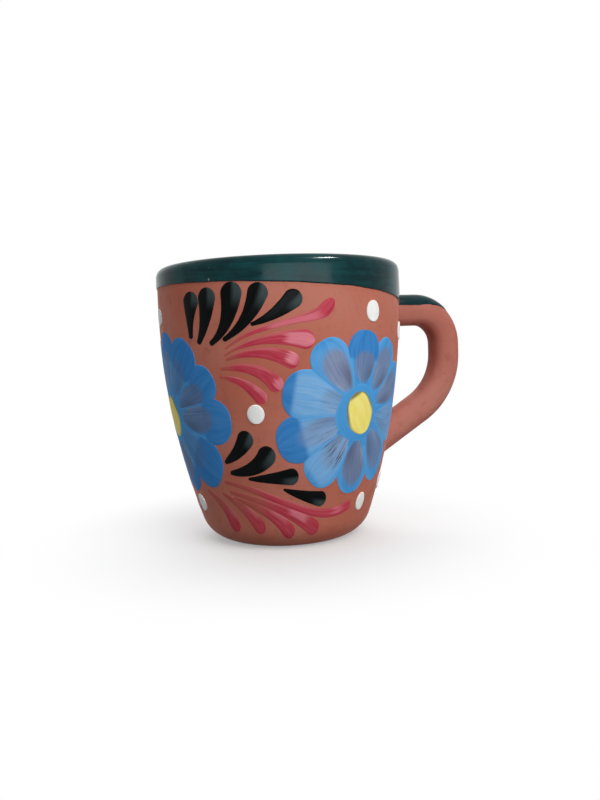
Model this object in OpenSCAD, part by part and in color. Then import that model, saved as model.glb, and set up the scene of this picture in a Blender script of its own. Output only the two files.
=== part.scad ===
// A jarrito: a thrown red-clay mug with a pulled handle luted on with slip,
// a green glaze on its rim and handle, and painted flowers, strokes and dots.
// The table is z = 0, the cup's axis is Z and the handle points along +X.

/* [Cup] */
// Outer radius at the widest place
cup_r = 41; // [36:0.5:48]
// Height from the table to the lip
cup_h = 91.5; // [84:0.5:105]
// Depth of the widest place below the lip
wide_drop = 10.5; // [8:0.5:14]
// Radius of the arc that the wall follows from rim to foot
wall_arc_r = 232; // [200:1:300]
// Radius of the rounding between wall and foot
foot_r = 11; // [8:0.5:14]
// Thickness of the clay wall
wall_t = 5.4; // [4:0.1:7]
// Thickness of the clay floor
floor_t = 6.5; // [4.5:0.1:9]
// Radius of the rounding between floor and wall, inside
well_r = 12; // [8:0.5:16]

/* [Handle] */
// Thickness of the coil, in the plane of the handle
coil_t = 11.1; // [9:0.1:11.4]
// Width of the coil, across the plane of the handle
coil_w = 10.4; // [9.6:0.1:14]
// Radius of the two corners on the coil's inner side, where its section is flat
coil_corner_r = 4.4; // [2.6:0.1:4.6]
// Depth of the top limb's centre line below the lip
handle_drop = 15.3; // [14:0.1:18]
// Reach of the coil's centre line out from the widest radius
handle_reach = 24.7; // [21:0.1:30]
// Radius of the top bend, on the centre line
top_bend_r = 12.5; // [9:0.5:15]
// Straight height between the two bends
grip_h = 3; // [1:0.1:8]
// Radius of the lower bend, on the centre line
low_bend_r = 24; // [18:0.5:27]
// Slope of the lower limb above the level, in degrees
low_slope = 30; // [26:1:40]

/* [Slip joints] */
// Thickness of the slip layer between wall and coil
slip_t = 0.5; // [0.3:0.1:0.8]
// Width of the slip fillet round the coil, along the wall
slip_w = 2; // [1:0.1:3]
// Height of the slip fillet above the wall
slip_h = 2.2; // [1:0.1:3]

/* [Glaze] */
// Thickness of a glaze coat
glaze_t = 0.4; // [0.2:0.05:0.8]
// Mean depth of the green rim band below the lip, outside
band_h = 9.6; // [7:0.1:11]
// Slope of the band's lower edge, down toward the handle, in degrees
band_tilt = 2.8; // [0:0.1:4]
// Depth of the green rim band below the lip, inside
band_in_h = 6.5; // [4:0.1:9]
// Depth of the green stroke below the top of the handle
stroke_drop = 3.6; // [2:0.1:4.5]
// Fall of the green stroke's edge away from the cup, in degrees
stroke_fall = 5; // [2:0.5:8]

/* [Painting] */
// Thickness of a coat of paint
paint_t = 0.35; // [0.2:0.05:0.6]
// Angle between neighbouring flowers, in degrees
flower_pitch = 109; // [104:1:112]
// Reach of the longest petal from the flower's middle, round the cup
flower_r = 31.5; // [27:0.5:33]
// Radius of the blue ring round a flower's heart
ring_r = 9.5; // [8.5:0.1:11]
// Mean radius of a flower's yellow heart
heart_r = 6; // [4.5:0.1:7]
// Gap between the yellow heart and the blue ring
heart_gap = 0.3; // [0.2:0.05:0.6]
// Widest half width of a brush stroke
brush_r = 3.1; // [2.6:0.1:3.3]
// Radius of a white dot
dot_r = 3; // [2:0.1:3.4]

/* [Hidden] */
$fn = 72;

clay_colour = "#b4705c";
slip_colour = "#a9654f";
glaze_colour = "#1c3a3c";
lining_colour = "#8a4a34";
petal_colour = "#4a90cc";
heart_colour = "#e6da78";
black_colour = "#14191b";
red_colour = "#a8404e";
dot_colour = "#eef2f0";

// Overrun of every cut past the face that it opens
cut_over = 1;
// Steps that the slip fillet rises in
slip_steps = 3;
// Steps along each arc of the cup's section: wall, foot, well and lip
wall_steps = 10;
foot_steps = 8;
well_steps = 8;
lip_steps = 10;
// Steps round each quarter of the coil's section, and along each of its bends
coil_steps = 6;
bend_steps = 9;
// Points along one side of a brush stroke, and round its head
side_points = 8;
head_points = 8;
// Points round a yellow heart
heart_points = 28;

// Half width of a stroke's tail and of a petal's root, against its head
tail_share = 0.25;
root_share = 0.45;
// How late a petal swells, as for a stroke
petal_swell = 0.8;
// Step along a curve, of its whole length, over which its direction is read
slope_share = 0.01;
// Long and short radius of a yellow heart against its mean, and its lean
heart_shares = [1.1, 0.92];
heart_lean = 22;

// The wall's arc, the roundings at the foot and in the well, and the lip
wide_z = cup_h - wide_drop;
arc_mid = [cup_r - wall_arc_r, wide_z];
inner_arc_r = wall_arc_r - wall_t;
foot_mid = rounding_mid(wall_arc_r, foot_r, 0);
well_mid = rounding_mid(inner_arc_r, well_r, floor_t);
foot_angle = angle_on_arc(foot_mid);
well_angle = angle_on_arc(well_mid);
lip_r = wall_t / 2;
lip_mid = point_on_arc(wall_arc_r - lip_r, cup_h - lip_r);
lip_angle = angle_on_arc(lip_mid);
foot_meet_z = foot_r + foot_r * sin(foot_angle);

// The handle's centre line
top_z = cup_h - handle_drop;
reach_x = cup_r + handle_reach;
top_bend_x = reach_x - top_bend_r;
top_bend_z = top_z - top_bend_r;
low_bend_x = reach_x - low_bend_r;
low_bend_z = top_bend_z - grip_h;
low_x = low_bend_x + low_bend_r * sin(low_slope);
low_z = low_bend_z - low_bend_r * cos(low_slope);
low_root_x = limb_meets_wall(8);

// Height that the highest strokes' heads come to under the rim band. The pattern's heights
// are shares of it: that of the flowers' middle, and a petal's longest reach up the wall
stroke_top_z = cup_h - band_h - brush_r;
flower_z_share = 0.55;
flower_rise_share = 0.4;
flower_z = flower_z_share * stroke_top_z;
flower_rise = flower_rise_share * stroke_top_z;

// Angles of the flowers and of the panels between them, from the handle
side_flower = 180 - flower_pitch;
panel_turn = 180 - flower_pitch / 2;

// Brush strokes of a panel: control points from tail to head, each as degrees from
// the panel's middle and a share of the strokes' top, then the head's half width as a
// share of the brush, and how late the stroke swells
upper_black_shares = [
    [[[-26.1, 0.873], [-25.9, 0.941], [-25.5, 1.002]], 0.94, 2],
    [[[-21.3, 0.852], [-16.5, 0.929], [-15.6, 1.008]], 0.97, 2],
    [[[-14.7, 0.845], [-6, 0.901], [-4.5, 1.01]], 0.97, 2],
    [[[-8.1, 0.858], [3.5, 0.917], [6.9, 1.008]], 0.9, 2],
    [[[4.5, 0.912], [13.5, 0.932], [20.9, 0.993]], 0.89, 2]
];
upper_red_shares = [
    [[[-9.5, 0.819], [7.5, 0.917], [36.2, 0.958]], 0.77, 6],
    [[[-8.5, 0.797], [7.5, 0.882], [25.8, 0.844]], 0.87, 3],
    [[[-8, 0.773], [7.5, 0.824], [19.4, 0.768]], 0.74, 2],
    [[[-10.8, 0.747], [5.5, 0.762], [12.4, 0.687]], 0.68, 1.5],
    [[[-12, 0.714], [-1.5, 0.705], [5.7, 0.636]], 0.58, 1.5]
];
lower_black_shares = [
    [[[-15.1, 0.38], [-6.5, 0.418], [-3.1, 0.475]], 0.81, 1.5],
    [[[-13.1, 0.332], [0.5, 0.343], [6.6, 0.406]], 0.94, 1.5],
    [[[-3.5, 0.312], [9.5, 0.316], [18.4, 0.323]], 0.84, 1.5],
    [[[14.7, 0.267], [24.5, 0.236], [34.9, 0.221]], 0.68, 1.5]
];
lower_red_shares = [
    [[[-18, 0.294], [5.5, 0.279], [25.5, 0.139], [40.5, 0.134], [53.5, 0.168]], 0.48, 0.8],
    [[[-15.8, 0.254], [11.5, 0.209], [30.3, 0.102]], 0.71, 2],
    [[[-12.5, 0.223], [7.5, 0.178], [15.1, 0.102]], 0.77, 2],
    [[[-21.5, 0.244], [-7.5, 0.185], [-1.8, 0.111]], 0.61, 1.5],
    [[[-33.9, 0.247], [-21.5, 0.19], [-18.7, 0.109]], 0.77, 2]
];

// Petals of a flower: direction in degrees, then reach and half width as shares of the
// longest petal's reach
petal_shares = [
    [-1, 0.97, 0.19], [22, 0.93, 0.165], [58, 0.87, 0.17], [87, 0.81, 0.2],
    [120, 0.85, 0.18], [164, 0.92, 0.21], [193, 1, 0.22], [236, 0.86, 0.2],
    [268, 0.82, 0.21], [318, 0.91, 0.22]
];

// White dots: degrees from the flower, the panel's middle or the handle, and a share of
// the strokes' top
front_dot_shares = [[5.9, 0.947], [11, 0.175]];
middle_dot_shares = [[-2, 0.959], [8.2, 0.184]];
back_dot_shares = [[4.6, 0.949], [9.6, 0.18]];
panel_dot_shares = [[3.2, 0.569]];
handle_dot_shares = [[-33, 0.873], [30, 0.873], [-33, 0.233], [30, 0.233]];

// The point at a height on an arc about the wall's middle, the angle of a point there, and
// the middle of a rounding that joins such an arc to a level base
function point_on_arc(radius, z) = [arc_mid[0] + sqrt(pow(radius, 2) - pow(z - wide_z, 2)), z];
function angle_on_arc(point) = atan2(point[1] - wide_z, point[0] - arc_mid[0]);
function rounding_mid(arc_r, round_r, base_z) = point_on_arc(arc_r - round_r, base_z + round_r);

// Points along an arc from one angle to another
function arc(mid, radius, from, to, steps) = [
    for (i = [0:steps])
        let (turn = from + (to - from) * i / steps)
        mid + radius * [cos(turn), sin(turn)]
];
function but_first(points) = [for (i = [1:len(points) - 1]) points[i]];
function but_ends(points) = [for (i = [1:len(points) - 2]) points[i]];
function back_to_front(points) = [for (i = [len(points) - 1:-1:0]) points[i]];

// The cup's outer line, hollow line and lip in half section, moved out from the clay by a coat
function outer_line(coat) = concat(
    arc(foot_mid, foot_r + coat, -90, foot_angle, foot_steps),
    but_first(arc(arc_mid, wall_arc_r + coat, foot_angle, lip_angle, wall_steps))
);
function hollow_line(coat) = concat(
    arc(well_mid, well_r - coat, -90, well_angle, well_steps),
    but_first(arc(arc_mid, inner_arc_r - coat, well_angle, lip_angle, wall_steps))
);
function lip_line(coat) = arc(lip_mid, lip_r + coat, lip_angle, lip_angle + 180, lip_steps);

// Outer radius of the cup at a height
function wall_r(z) = z < foot_meet_z
    ? foot_mid[0] + sqrt(pow(foot_r, 2) - pow(foot_r - z, 2))
    : point_on_arc(wall_arc_r, z)[0];

// Height of the lower limb's centre line at a radius, and the radius at which it comes to
// the wall, found by closing in
function limb_z(x) = low_z - (low_x - x) * tan(low_slope);
function limb_meets_wall(tries) = tries == 0 ? cup_r : wall_r(limb_z(limb_meets_wall(tries - 1)));

// A point of a smooth curve through its control points' hull, at t from 0 to 1
function bend(points, t) = len(points) == 1
    ? points[0]
    : bend([for (i = [0:len(points) - 2]) points[i] * (1 - t) + points[i + 1] * t], t);

// Outline of one brush stroke, flat: both sides and a round head
function across(points, t) =
    let (step = bend(points, t + slope_share) - bend(points, t - slope_share))
    [-step[1], step[0]] / norm(step);
function swelling(t, tail, swell) = tail + (1 - tail) * pow(t, swell);
function side(points, head_r, tail, swell, sign) = [
    for (i = [0:side_points])
        let (t = i / side_points)
        bend(points, t) + across(points, t) * head_r * swelling(t, tail, swell) * sign
];
function head(points, head_r) = [
    for (i = [1:head_points - 1])
        let (turn = 180 * i / head_points, up = across(points, 1))
        bend(points, 1) + head_r * (up * -cos(turn) + [up[1], -up[0]] * sin(turn))
];
function stroke(points, head_r, tail, swell) = concat(
    side(points, head_r, tail, swell, -1),
    head(points, head_r),
    back_to_front(side(points, head_r, tail, swell, 1))
);

// A flat point, in arc length at the widest radius and in height, as seen square on from
// outside when it lies on the wall
function on_wall(point) = [wall_r(point[1]) * sin(point[0] / cup_r * 180 / PI), point[1]];
function wrapped(points) = [for (point = points) on_wall(point)];
function panel_point(place) = [place[0] * PI / 180 * cup_r, place[1] * stroke_top_z];

// Outlines of a petal and of a heart, flat
function petal_points(petal) =
    let (
        head_middle = (petal[1] - petal[2]) * [cos(petal[0]), sin(petal[0])],
        outline = stroke([[0, 0], head_middle], petal[2], root_share, petal_swell)
    )
    [for (point = outline) [point[0] * flower_r, flower_z + point[1] * flower_rise]];
function heart_outline(grow) = [
    for (i = [0:heart_points - 1])
        let (
            turn = 360 * i / heart_points,
            x = (heart_r * heart_shares[1] + grow) * cos(turn),
            y = (heart_r * heart_shares[0] + grow) * sin(turn)
        )
        [x * cos(heart_lean) - y * sin(heart_lean), flower_z + x * sin(heart_lean) + y * cos(heart_lean)]
];

// The cup's filled outer form, moved out from the clay by a coat
module outer_form(coat) {
    line = outer_line(coat);
    rotate_extrude($fn = 180) polygon(concat([[0, -coat]], line, [[0, line[len(line) - 1][1]]]));
}

module clay_body() {
    color(clay_colour) rotate_extrude($fn = 180) polygon(concat(
        [[0, 0]],
        outer_line(0),
        but_ends(lip_line(0)),
        back_to_front(hollow_line(0)),
        [[0, floor_t]]
    ));
}

// The coil's section, grown by a coat, with its outward side along the first axis:
// its oval outer half, one of its inner corners, and the whole
function coil_back(coat) = [
    for (i = [0:2 * coil_steps])
        let (turn = 90 * i / coil_steps - 90)
        [(coil_t / 2 + coat) * cos(turn), (coil_w / 2 + coat) * sin(turn)]
];
function coil_corner(coat, side, turn) = arc(
    [coil_corner_r - coil_t / 2, side * (coil_w / 2 - coil_corner_r)],
    coil_corner_r + coat, turn, turn + 90, coil_steps
);
function coil_section(coat) = concat(coil_back(coat), coil_corner(coat, 1, 90), coil_corner(coat, -1, 180));

// The coil's centre line: places in the handle's plane, each with its heading in degrees
top_places = [
    [cup_r - wall_t, top_z, 0],
    [top_bend_x, top_z, 0]
];
top_bend_places = [
    for (i = [1:bend_steps])
        let (turn = 90 * i / bend_steps)
        [top_bend_x + top_bend_r * sin(turn), top_bend_z + top_bend_r * cos(turn), -turn]
];
low_bend_places = [
    for (i = [0:bend_steps])
        let (turn = (90 - low_slope) * i / bend_steps)
        [low_bend_x + low_bend_r * cos(turn), low_bend_z - low_bend_r * sin(turn), -90 - turn]
];
low_places = [[low_root_x - wall_t, limb_z(low_root_x - wall_t), low_slope - 180]];
coil_places = concat(top_places, top_bend_places, low_bend_places, low_places);

// A closed section carried along places in the handle's plane
module carried(section, places) {
    n = len(section);
    last = n * (len(places) - 1);
    points = [
        for (place = places, point = section)
            [place[0] - point[0] * sin(place[2]), point[1], place[1] + point[0] * cos(place[2])]
    ];
    sides = [
        for (ring = [0:len(places) - 2], i = [0:n - 1])
            let (a = ring * n + i, b = ring * n + (i + 1) % n)
            [a, b, b + n, a + n]
    ];
    ends = [[for (i = [n - 1:-1:0]) i], [for (i = [0:n - 1]) last + i]];
    polyhedron(points, concat(sides, ends));
}

module clay_handle() {
    color(clay_colour) difference() {
        carried(coil_section(0), coil_places);
        outer_form(slip_t);
    }
}

// The straight limb at each root, grown by a coat: the lower one's outward side is its underside
module top_limb(coat) {
    translate([top_bend_x, 0, top_z]) rotate([0, -90, 0])
        linear_extrude(top_bend_x - cup_r + wall_t) polygon(coil_section(coat));
}
module low_limb(coat) {
    translate([low_x, 0, low_z]) rotate([0, -90 - low_slope, 0])
        linear_extrude((low_x - low_root_x + wall_t) / cos(low_slope))
            mirror([1, 0]) polygon(coil_section(coat));
}

// A slip fillet that rises in steps from the wall to the coil, over a layer under the coil's
// end: the first three children are the limb grown less and less, the last is the limb
function slip_width(i) = slip_w * (1 - sqrt(1 - pow(1 - i / slip_steps, 2)));
module slip_joint() {
    color(slip_colour) difference() {
        for (i = [0:slip_steps - 1]) intersection() {
            children(i);
            outer_form(slip_t + (slip_h - slip_t) * (i + 1) / slip_steps);
        }
        outer_form(0);
        difference() {
            children(slip_steps);
            outer_form(slip_t);
        }
    }
}
module upper_slip_joint() {
    slip_joint() {
        top_limb(slip_width(0));
        top_limb(slip_width(1));
        top_limb(slip_width(2));
        top_limb(0);
    }
}
module lower_slip_joint() {
    slip_joint() {
        low_limb(slip_width(0));
        low_limb(slip_width(1));
        low_limb(slip_width(2));
        low_limb(0);
    }
}

module inner_glaze() {
    color(lining_colour) intersection() {
        rotate_extrude($fn = 180) polygon(concat(
            [[0, floor_t]],
            hollow_line(0),
            back_to_front(hollow_line(glaze_t)),
            [[0, floor_t + glaze_t]]
        ));
        cylinder(r = cup_r, h = cup_h - band_in_h);
    }
}

// Everything below the rim band's sloping lower edge
module below_band_edge() {
    far = cup_r * 2;
    translate([0, 0, cup_h - band_h]) rotate([0, band_tilt, 0]) translate([-far, -far, -cup_h])
        cube([2 * far, 2 * far, cup_h]);
}

module rim_glaze() {
    inside_z = cup_h - band_in_h;
    color(glaze_colour) difference() {
        rotate_extrude($fn = 180) polygon(concat(
            outer_line(glaze_t),
            but_ends(lip_line(glaze_t)),
            back_to_front(hollow_line(glaze_t)),
            hollow_line(0),
            back_to_front(but_ends(lip_line(0))),
            back_to_front(outer_line(0))
        ));
        below_band_edge();
        translate([0, 0, -cut_over]) cylinder(r = lip_mid[0], h = inside_z + cut_over);
        top_limb(slip_w);
    }
}

// Everything above the green stroke's edge on the handle
module above_stroke_edge() {
    far = cup_r + handle_reach;
    translate([cup_r, 0, top_z + coil_t / 2 - stroke_drop]) rotate([0, stroke_fall, 0])
        translate([-far, -far, 0]) cube([2 * far, 2 * far, far]);
}

module handle_glaze() {
    places = concat(top_places, top_bend_places);
    color(glaze_colour) intersection() {
        difference() {
            carried(coil_section(glaze_t), places);
            carried(coil_section(0), coil_places);
            outer_form(slip_h);
        }
        above_stroke_edge();
    }
}

// A thin coat on the outer wall, cut to flat outlines that face outward at an angle
module coat_on_wall(turn) {
    intersection() {
        rotate_extrude($fn = 180) polygon(concat(outer_line(paint_t), back_to_front(outer_line(0))));
        rotate([90, 0, turn + 90]) linear_extrude(cup_r + paint_t + cut_over) children();
    }
}

module flower_petals(turn) {
    color(petal_colour) coat_on_wall(turn) difference() {
        union() {
            for (petal = petal_shares) polygon(wrapped(petal_points(petal)));
            translate([0, flower_z]) circle(ring_r);
        }
        polygon(wrapped(heart_outline(heart_gap)));
    }
}

module flower_heart(turn) {
    color(heart_colour) coat_on_wall(turn) polygon(wrapped(heart_outline(0)));
}

module strokes(turn, shares, colour) {
    color(colour) coat_on_wall(turn) for (line = shares)
        polygon(wrapped(stroke(
            [for (place = line[0]) panel_point(place)], line[1] * brush_r, tail_share, line[2]
        )));
}

module upper_black(turn) { strokes(turn, upper_black_shares, black_colour); }
module upper_red(turn) { strokes(turn, upper_red_shares, red_colour); }
module lower_black(turn) { strokes(turn, lower_black_shares, black_colour); }
module lower_red(turn) { strokes(turn, lower_red_shares, red_colour); }

module dots(turns, shares) {
    color(dot_colour) for (turn = turns, place = shares)
        coat_on_wall(turn + place[0]) translate([0, place[1] * stroke_top_z]) circle(dot_r);
}

module flower_dots() {
    dots([-side_flower], front_dot_shares);
    dots([180], middle_dot_shares);
    dots([side_flower], back_dot_shares);
}

clay_body();
clay_handle();
upper_slip_joint();
lower_slip_joint();
inner_glaze();
rim_glaze();
handle_glaze();
flower_petals(-side_flower);  // front_flower_petals
flower_petals(180);  // middle_flower_petals
flower_petals(side_flower);  // back_flower_petals
flower_heart(-side_flower);  // front_flower_heart
flower_heart(180);  // middle_flower_heart
flower_heart(side_flower);  // back_flower_heart
upper_black(-panel_turn);  // front_upper_black_strokes
upper_red(-panel_turn);  // front_upper_red_strokes
lower_black(-panel_turn);  // front_lower_black_strokes
lower_red(-panel_turn);  // front_lower_red_strokes
upper_black(panel_turn);  // back_upper_black_strokes
upper_red(panel_turn);  // back_upper_red_strokes
lower_black(panel_turn);  // back_lower_black_strokes
lower_red(panel_turn);  // back_lower_red_strokes
flower_dots();
dots([-panel_turn, panel_turn], panel_dot_shares);  // panel_dots
dots([0], handle_dot_shares);  // handle_dots
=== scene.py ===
"""A jarrito: a thrown red-clay mug with a pulled handle, green rim, amber lining and brushed flowers."""

import math

import bmesh
import bpy
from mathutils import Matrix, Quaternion, Vector


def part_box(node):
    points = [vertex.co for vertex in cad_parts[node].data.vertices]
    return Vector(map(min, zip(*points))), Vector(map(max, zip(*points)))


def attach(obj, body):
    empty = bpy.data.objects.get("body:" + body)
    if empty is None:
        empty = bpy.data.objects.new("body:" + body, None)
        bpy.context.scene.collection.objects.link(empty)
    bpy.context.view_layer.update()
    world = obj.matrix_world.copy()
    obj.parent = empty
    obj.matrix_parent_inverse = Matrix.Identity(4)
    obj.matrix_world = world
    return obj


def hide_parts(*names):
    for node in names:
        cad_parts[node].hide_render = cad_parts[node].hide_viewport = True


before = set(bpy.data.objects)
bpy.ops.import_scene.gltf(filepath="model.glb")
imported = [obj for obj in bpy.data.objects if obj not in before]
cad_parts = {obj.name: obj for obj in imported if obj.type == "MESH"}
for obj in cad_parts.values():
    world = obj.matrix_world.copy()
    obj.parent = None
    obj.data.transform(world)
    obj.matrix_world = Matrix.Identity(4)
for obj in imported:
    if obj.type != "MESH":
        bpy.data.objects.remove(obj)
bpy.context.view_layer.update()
bpy.context.scene.view_settings.view_transform = "Standard"

MM = 0.001

# Sizes of the cup and the handle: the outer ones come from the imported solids, the rest are the part's own
body_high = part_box("clay_body")[1]
handle_low, handle_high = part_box("clay_handle")
cup_r = body_high.x
cup_h = body_high.z
wide_z = cup_h - 10.5 * MM
wall_arc_r = 232 * MM
foot_r = 11 * MM
wall_t = 5.4 * MM
floor_t = 6.5 * MM
well_r = 12 * MM
coil_w = handle_high.y - handle_low.y
coil_t = 11.1 * MM
coil_corner_r = 4.4 * MM
reach_x = handle_high.x - coil_t / 2
top_z = cup_h - 15.3 * MM
top_bend_r = 12.5 * MM
low_bend_r = 24 * MM
grip_h = 3 * MM
low_slope = math.radians(30)
slip_w = 2.4 * MM
slip_h = 2.6 * MM
glaze_t = 0.4 * MM
band_h = 8.45 * MM
band_in_h = 6.5 * MM
flower_z = 43.4 * MM

# Thickness of the paint by colour, and how deep each kind of coat and the coil's ends lie in the clay
black_t = 0.24 * MM
red_t = 0.12 * MM
blue_t = 0.1 * MM
yellow_t = 0.42 * MM
white_t = 0.5 * MM
paint_sink = 0.03 * MM
glaze_sink = 0.05 * MM
root_sink = 0.3 * MM

# How far the thrown wall wanders, and how much of the floor's middle stays still
swell_depth = 0.3 * MM
still_r = 12 * MM

# The wall's arc, the roundings at foot and well, and the lip
arc_x = cup_r - wall_arc_r
inner_arc_r = wall_arc_r - wall_t
lip_r = wall_t / 2


def arc_point(radius, z):
    """Distance from the axis, at a height, of an arc about the wall's middle."""
    return arc_x + math.sqrt(radius**2 - (z - wide_z) ** 2)


def arc_angle(r, z):
    return math.atan2(z - wide_z, r - arc_x)


foot_x = arc_point(wall_arc_r - foot_r, foot_r)
well_z = floor_t + well_r
well_x = arc_point(inner_arc_r - well_r, well_z)
lip_z = cup_h - lip_r
lip_x = arc_point(wall_arc_r - lip_r, lip_z)
foot_angle = arc_angle(foot_x, foot_r)
well_angle = arc_angle(well_x, well_z)
lip_angle = arc_angle(lip_x, lip_z)
foot_meet_z = foot_r + foot_r * math.sin(foot_angle)


def arc(x, z, radius, start, end, steps):
    """Points of an arc in half section, as distance from the axis and height."""
    turns = [start + (end - start) * i / steps for i in range(steps + 1)]
    return [(x + radius * math.cos(turn), z + radius * math.sin(turn)) for turn in turns]


def rgb(red, green, blue):
    """A colour as it looks on a screen, in Blender's own terms."""
    shares = [channel / 255 for channel in (red, green, blue)]
    return [s / 12.92 if s <= 0.04045 else ((s + 0.055) / 1.055) ** 2.4 for s in shares] + [1.0]


class Bench:
    """A node tree being built: each call adds a node, feeds it and gives back the node or its output."""

    def __init__(self, tree):
        self.tree = tree

    def add(self, kind, feeds=None, **settings):
        node = self.tree.nodes.new(kind)
        for name, value in settings.items():
            setattr(node, name, value)
        for place, value in (feeds or {}).items():
            self.feed(node.inputs[place], value)
        return node

    def feed(self, socket, value):
        if isinstance(value, bpy.types.NodeSocket):
            self.tree.links.new(value, socket)
        else:
            socket.default_value = value

    def place_group(self, tree, feeds):
        kind = "GeometryNodeGroup" if tree.bl_idname == "GeometryNodeTree" else "ShaderNodeGroup"
        node = self.add(kind, node_tree=tree)
        for label, value in feeds.items():
            self.feed(node.inputs[label], value)
        return node.outputs

    def calc(self, operation, a, b=0.0):
        return self.add("ShaderNodeMath", {0: a, 1: b}, operation=operation).outputs[0]

    def plus(self, a, b):
        return self.calc("ADD", a, b)

    def minus(self, a, b):
        return self.calc("SUBTRACT", a, b)

    def times(self, a, b):
        return self.calc("MULTIPLY", a, b)

    def divide(self, a, b):
        return self.calc("DIVIDE", a, b)

    def times_plus(self, a, b, c):
        return self.add("ShaderNodeMath", {0: a, 1: b, 2: c}, operation="MULTIPLY_ADD").outputs[0]

    def absolute(self, value):
        return self.calc("ABSOLUTE", value)

    def all_of(self, *masks):
        """A mask that holds only where all of these do."""
        whole = masks[0]
        for mask in masks[1:]:
            whole = self.times(whole, mask)
        return whole

    def vector_calc(self, operation, a, b):
        return self.add("ShaderNodeVectorMath", {0: a, 1: b}, operation=operation).outputs[0]

    def vector_plus(self, a, b):
        return self.vector_calc("ADD", a, b)

    def vector_minus(self, a, b):
        return self.vector_calc("SUBTRACT", a, b)

    def stretch(self, vector, factor):
        node = self.add("ShaderNodeVectorMath", {0: vector}, operation="SCALE")
        self.feed(node.inputs["Scale"], factor)
        return node.outputs[0]

    def vector(self, x=0.0, y=0.0, z=0.0):
        return self.add("ShaderNodeCombineXYZ", {0: x, 1: y, 2: z}).outputs[0]

    def parts(self, vector):
        return self.add("ShaderNodeSeparateXYZ", {0: vector}).outputs

    def ramp(self, value, low, high, start=0.0, end=1.0):
        """Eases from start to end while the value goes from low to high."""
        feeds = {0: value, 1: low, 2: high, 3: start, 4: end}
        return self.add("ShaderNodeMapRange", feeds, interpolation_type="SMOOTHSTEP").outputs[0]

    def grain(self, vector, scale, detail=2.0, roughness=0.5):
        feeds = {"Vector": vector, "Scale": scale, "Detail": detail, "Roughness": roughness}
        return self.add("ShaderNodeTexNoise", feeds).outputs[0]

    def centred(self, noise):
        """A noise that swings about zero."""
        return self.minus(noise, 0.5)

    def blend(self, share, a, b):
        return self.add("ShaderNodeMix", {0: share, 6: a, 7: b}, data_type="RGBA").outputs[2]

    def object_place(self):
        return self.add("ShaderNodeTexCoord").outputs["Object"]

    def read_tint(self, name):
        return self.add("ShaderNodeAttribute", attribute_name=name).outputs["Fac"]

    def read_mark(self, name, sort="FLOAT"):
        """A named mark on the points, as the sketch or an earlier step left it."""
        return self.add("GeometryNodeInputNamedAttribute", {"Name": name}, data_type=sort).outputs[0]

    def read_vector(self, name):
        return self.read_mark(name, "FLOAT_VECTOR")

    def leave_mark(self, geometry, name, value, sort="FLOAT"):
        feeds = {"Geometry": geometry, "Name": name, "Value": value}
        node = self.add("GeometryNodeStoreNamedAttribute", feeds, data_type=sort, domain="POINT")
        return node.outputs[0]

    def leave_vector(self, geometry, name, value):
        return self.leave_mark(geometry, name, value, "FLOAT_VECTOR")

    def position(self):
        return self.add("GeometryNodeInputPosition").outputs[0]

    def tangent(self):
        return self.add("GeometryNodeInputTangent").outputs[0]

    def curve(self, mesh):
        return self.add("GeometryNodeMeshToCurve", {"Mesh": mesh}).outputs[0]

    def unit_ring(self, steps):
        """A round section to carry along a line, and the place of its points."""
        feeds = {"Resolution": steps, "Radius": 1.0}
        ring = self.add("GeometryNodeCurvePrimitiveCircle", feeds).outputs[0]
        return ring, self.parts(self.position())

    def angle_ring(self, steps):
        ring, place = self.unit_ring(steps)
        return self.leave_mark(ring, "angle", self.calc("ARCTAN2", place[1], place[0]))

    def dome_ring(self, steps):
        ring, place = self.unit_ring(steps)
        ring = self.leave_mark(ring, "across", place[0])
        return self.leave_mark(ring, "dome", place[1])

    def sweep(self, line, section, caps=False):
        feeds = {"Curve": line, "Profile Curve": section, "Fill Caps": caps}
        return self.add("GeometryNodeCurveToMesh", feeds).outputs[0]

    def put(self, geometry, position, only=True):
        feeds = {"Geometry": geometry, "Selection": only, "Position": position}
        return self.add("GeometryNodeSetPosition", feeds).outputs[0]


SOCKETS = {
    "geometry": "NodeSocketGeometry",
    "value": "NodeSocketFloat",
    "count": "NodeSocketInt",
    "vector": "NodeSocketVector",
    "object": "NodeSocketObject",
    "material": "NodeSocketMaterial",
}


def new_group(name, kind, takes, gives):
    """An empty node group with named inputs and outputs: its bench and its two ends."""
    tree = bpy.data.node_groups.new(name, kind)
    for label, sort in takes:
        tree.interface.new_socket(label, in_out="INPUT", socket_type=SOCKETS[sort])
    for label, sort in gives:
        tree.interface.new_socket(label, in_out="OUTPUT", socket_type=SOCKETS[sort])
    bench = Bench(tree)
    start = bench.add("NodeGroupInput")
    end = bench.add("NodeGroupOutput")
    return bench, start.outputs, end.inputs


def finish_tree(bench, geometry, merge, material, end):
    """Closes poles and seams, then smooths, realises and sets the material."""
    merged = bench.add("GeometryNodeMergeByDistance", {"Geometry": geometry, "Distance": merge})
    smooth = bench.add("GeometryNodeSetShadeSmooth", {"Geometry": merged.outputs[0]})
    real = bench.add("GeometryNodeRealizeInstances", {"Geometry": smooth.outputs[0]})
    done = bench.add("GeometryNodeSetMaterial", {"Geometry": real.outputs[0], "Material": material})
    bench.feed(end, done.outputs[0])


# Points closer than this are one, on the cup, on the coil and on thin coats
CUP_MERGE = 0.002 * MM
COIL_MERGE = 0.001 * MM
COAT_MERGE = 0.0005 * MM

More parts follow.
